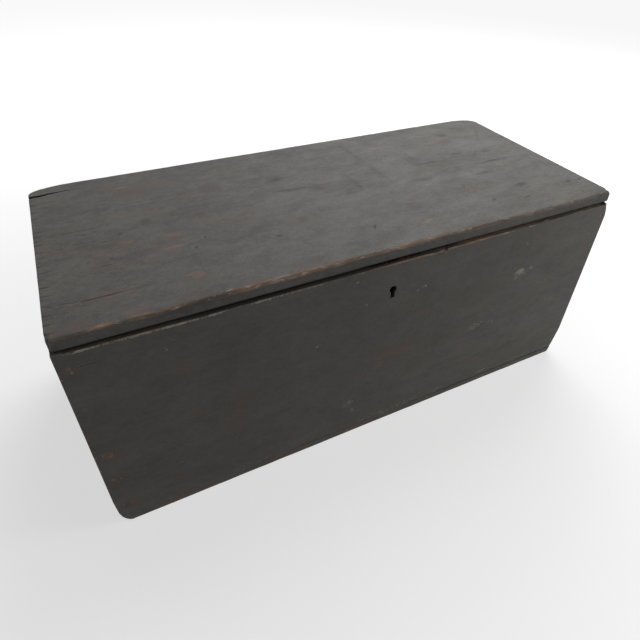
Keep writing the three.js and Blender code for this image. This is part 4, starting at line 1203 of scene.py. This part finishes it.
def front_edge(points, far):
    """Wear along the top, both ends and the foot."""
    wander = 1 + noises(points, FRONT_WANDER, ALONG)
    down = 1 + noises(points, FRONT_END_WANDER, UPWARDS)
    middle = oval(points, 0, 2, FRONT_WORN_PLACE, FRONT_WORN_REACH)
    band = FRONT_BAND * varied(FRONT_BAND_SHARES, middle) * wander
    at_top = varied(FRONT_TOP_SHARES, middle) * fade(far.top, 0.2 * band, band)
    at_end = down * wandering(far.end, FRONT_SPANS["end"], down) * fade(far.face, *FRONT_SPANS["face"])
    at_foot = wandering(far.foot, FRONT_SPANS["end"], wander)
    return np.maximum(at_top, FRONT_EDGE_SHARE * np.maximum(at_end, at_foot))


def front_line(far, flecks):
    """The pale line of wear along the top's outer edge."""
    share = np.interp(far.x, LINE_PLACES, LINE_SHARES)
    line = fade(far.top, varied(LINE_FULL, share), varied(LINE_REACH, share))
    line *= fade(far.face, *FRONT_SPANS["line"]) * (far.x >= CHEST_LOW.x + BLOCK)
    return line * (share + LINE_FLECK_SHARE * flecks)


def front_dirt_and_shade(far, flecks, chip):
    """Painted shade in the gap under the lid, and dirt along the seam over the bottom board."""
    # gap: painted shade on the top edge under the lid, left out where the chip is
    gap = np.interp(far.x, GAP_SHADE_PLACES, GAP_SHADE_SHARES) * fade(far.top, *FRONT_SPANS["gap"]) * (1 - chip)
    seam = varied(SEAM_DIRT_SHARES, flecks) * smooth(far.x, *SEAM_DIRT_ALONG)
    seam *= fade(far.foot, *FRONT_SPANS["seam"]) * fade(far.face, *FRONT_SPANS["seam_across"])
    return np.maximum(gap * smooth(far.face, *FRONT_SPANS["gap_across"]), seam)


def front_values(points):
    x, y, z = points.T
    top = FRONT_HIGH.z - front_drop(points) - z
    end = CHEST_HIGH.x - np.abs(x)
    far = SimpleNamespace(x=x, top=top, foot=z - FRONT_LOW.z, face=y - FRONT_LOW.y, end=end)
    flecks = noises(points, FRONT_FLECKS, ALONG)
    chip = chip_share(points) ** 2 * fade(far.top, *FRONT_SPANS["chip"])
    scuff = np.maximum(most(points, 0, 2, on_wall, FRONT_SCUFFS), front_line(far, flecks))
    paint = np.maximum(fade(far.face, *FRONT_SPANS["paint"]), fade(far.end, *FRONT_SPANS["end_paint"]))
    return {"rub": most(points, 0, 2, on_wall, FRONT_RUBS), "scuff": scuff, "paint": paint,
            "edge": np.maximum(front_edge(points, far), CHIP_EDGE_SHARE * chip),
            "dirt_and_shade": front_dirt_and_shade(far, flecks, chip)}


def front_radius(rest):
    wobble = noises(rest, FRONT_WOBBLE, ARRIS_STRETCH)
    upper = rest[:, 2] > FRONT_HIGH.z - 4 * FRONT_ARRIS
    outer = rest[:, 1] < (FRONT_LOW.y + FRONT_HIGH.y) / 2
    low = rest[:, 2] < FRONT_LOW.z + 2 * FRONT_ARRIS
    near_end = CHEST_HIGH.x - np.abs(rest[:, 0]) < 3 * FRONT_ARRIS
    seam = SEAM_ARRIS + SEAM_WEAR * smooth(rest[:, 0], *SEAM_WEAR_ALONG)
    plain = np.where(near_end & outer & ~low, BOARD_ARRIS * (1 + 0.4 * wobble), seam)
    on_block = rest[:, 0] < CHEST_LOW.x + BLOCK
    return np.where(upper & outer & ~on_block, FRONT_ARRIS * (1 + 0.2 * wobble), plain)


def make_front(material, raw, dark, black):
    close = [(CHEST_LOW.x + BLOCK, *BLOCK_FINE), (CHIP_PLACES[1], *CHIP_FINE)]
    rest, faces = grid_plank("front_board", PLANK_STEP, close)
    points = rounded(rest, front_radius(rest))
    points = weather(rest, points, [(0, -1), (0, 1), (1, -1)], SEEDS["front"])
    points = sunk(rest, points, 2, 1, front_drop(rest))
    for low, high in nails_in("front"):
        x, _, z = (low + high) / 2
        dimple = NAIL_DIMPLE * oval(points, 0, 2, (x, z), (NAIL_DIMPLE_REACH, NAIL_DIMPLE_REACH))
        points = sunk(rest, points, 1, -1, dimple)
    points = knocked(rest, points, LEFT_KNOCKS + RIGHT_KNOCKS)
    cutters = lock_cutters(raw) + [keyhole_cutter(black)] + nail_cutters("front", dark)
    finish_plank("case", "front_board", points, faces, material, front_values, cutters)


# The other boards

def plain_radius(rest, worn):
    """Arrises worn by a varying amount where worn says so, and kept crisp along the seams."""
    return np.where(worn, BOARD_ARRIS * (1 + 0.4 * noises(rest, PLAIN_WOBBLE)), SEAM_ARRIS)


def edge_values(node, out_axis, out_side, marks):
    """Values for a plain outer board: rubbed at its arrises, scuffed, painted on its outer faces only."""
    low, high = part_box(node)

    def values(points):
        along = 1 - out_axis
        depth = np.abs(points[:, out_axis] - (high if out_side > 0 else low)[out_axis])
        to_end = np.minimum(points[:, along] - CHEST_LOW[along], CHEST_HIGH[along] - points[:, along])
        wander = 1 + noises(points, PLAIN_WANDER)
        broken = noises(points, PLAIN_BREAKS)
        at_end = varied(PLAIN_END_SHARES, broken) * wandering(to_end, PLAIN_SPANS["arris"], wander)
        at_top = varied(PLAIN_TOP_SHARES, broken)
        at_top *= wandering(high.z - points[:, 2], PLAIN_SPANS["arris"], wander)
        rub = PLAIN_FOOT_SHARE * wandering(points[:, 2] - CHEST_LOW.z, PLAIN_SPANS["foot"], wander)
        rub = np.maximum(rub, PLAIN_RUB_SHARE + noises(points, PLAIN_RUBS))
        marked = most(points, along, 2, on_wall, marks)
        paint = fade(depth, *PLAIN_SPANS["paint"])
        if out_axis == 1:
            paint = np.maximum(paint, fade(to_end, *PLAIN_SPANS["end_paint"]))
        return {"rub": np.maximum(rub, marked), "scuff": MARK_SCUFF_SHARE * marked, "paint": paint,
                "edge": np.maximum(at_end * fade(depth, *PLAIN_SPANS["face"]), at_top),
                "dirt_and_shade": np.zeros(len(points))}

    return values


def make_back(material, raw, dark):
    rest, faces = grid_plank("back_board", COARSE_STEP)
    low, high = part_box("back_board")
    worn = (CHEST_HIGH.x - np.abs(rest[:, 0]) < 3 * BOARD_ARRIS) & (rest[:, 1] > (low.y + high.y) / 2)
    points = weather(rest, rounded(rest, plain_radius(rest, worn)), [(0, -1), (0, 1), (1, 1)], SEEDS["back"])
    cutters = hinge_cutters(raw) + [back_bevel_cutter(-1, dark)] + nail_cutters("back", dark)
    values = edge_values("back_board", 1, 1, BACK_MARKS)
    finish_plank("case", "back_board", points, faces, material, values, cutters)


def make_end(side, out, material):
    node = f"{side}_end_board"
    rest, faces = grid_plank(node, COARSE_STEP)
    points = rounded(rest, plain_radius(rest, face_depth(rest, 2, 1) < 3 * BOARD_ARRIS))
    points = weather(rest, points, [(0, out)], SEEDS["end"] + out)
    points = knocked(rest, points, LEFT_KNOCKS if out < 0 else RIGHT_KNOCKS)
    finish_plank("case", node, points, faces, material, edge_values(node, 0, out, END_MARKS))


def bottom_values(points):
    x, y, z = points.T
    to_end = CHEST_HIGH.x - np.abs(x)
    to_edge = np.minimum(to_end, CHEST_HIGH.y - np.abs(y))
    foot = BOTTOM_FOOT_SHARE + noises(points, BOTTOM_BREAKS)
    foot *= wandering(z, BOTTOM_SPANS["foot"], 1 + noises(points, BOTTOM_WANDER))
    seam = BOTTOM_SEAM_SHARE * fade(BOTTOM_TOP - z, *BOTTOM_SPANS["seam"]) * smooth(x, *SEAM_DIRT_ALONG)
    seam *= fade(to_edge, *BOTTOM_SPANS["seam_across"])
    rub = BOTTOM_RUB_SHARE + noises(points, BOTTOM_RUBS)
    paint = np.maximum(fade(to_edge, *BOTTOM_SPANS["paint"]), fade(to_end, *BOTTOM_SPANS["end_paint"]))
    return {"rub": rub, "edge": foot, "scuff": np.zeros(len(points)), "dirt_and_shade": seam, "paint": paint}


def make_bottom(material):
    low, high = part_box("bottom_board")
    rest, faces = grid_plank("bottom_board", COARSE_STEP)
    points = rounded(rest, plain_radius(rest, face_depth(rest, 2, -1) < 4 * BOARD_ARRIS))
    for side, corner in ((-1, (low.x, low.z)), (1, (high.x, low.z))):
        points = worn_corner(points, 0, 2, corner, (side, -1), FOOT_WEAR)
    points = weather(rest, points, [(0, -1), (0, 1), (1, -1), (1, 1)], SEEDS["bottom"])
    points = knocked(rest, points, LEFT_KNOCKS + RIGHT_KNOCKS)
    finish_plank("case", "bottom_board", points, faces, material, bottom_values)


# The chest

def refinish(material, chosen):
    for name, node in frame["nodes"].items():
        if chosen(name):
            node.data.materials.clear()
            node.data.materials.append(material)


def make_chest():
    raw_lid, raw_front, raw_back, dark, black = [bare_wood(*cut) for cut in CUTS]
    lid_paint = painted_plank("lid_paint", 0, LID_PITH, 0.9, 0.75, drawn_on_lid(LID_SCRATCHES),
                              drawn_on_lid(LID_STAINS), drawn_on_lid(LID_BARED), drawn_on_lid(LID_CRACKS))
    front_paint = painted_plank("front_paint", 0, FRONT_PITH, 0.5, 0.4, drawn_on_front(FRONT_SCRATCHES),
                                cracks=drawn_on_front(FRONT_CRACKS))
    end_paint = painted_plank("end_paint", 1, END_PITH, 0.5, 0.5)
    make_lid(lid_paint, raw_lid, dark)
    make_front(front_paint, raw_front, dark, black)
    make_back(painted_plank("back_paint", 0, BACK_PITH, 0.5, 0.5), raw_back, dark)
    make_end("left", -1, end_paint)
    make_end("right", 1, end_paint)
    make_bottom(painted_plank("bottom_paint", 0, BOTTOM_PITH, 0.5, 0.5))

    scaled = iron("scaled_iron", IRON_DARK, 0.5, 0.50, 0.75)
    rubbed = iron("rubbed_iron", IRON_BRIGHT, 0.35, 0.34, 0.95)
    refinish(scaled, lambda name: name.startswith("lock_") or "_hinge_" in name or name == "strike_plate")
    bright = ("screw", "pin", "rivet", "bolt", "stud", "spring")
    refinish(rubbed, lambda name: any(word in name for word in bright))
    refinish(painted_nail("painted_nail"), lambda name: "_nail_" in name)


bpy.context.scene.view_settings.view_transform = "Standard"
make_camera()
make_world()
make_lamp("overhead", **OVERHEAD)
make_lamp("key", **KEY)
make_floor()
make_chest()
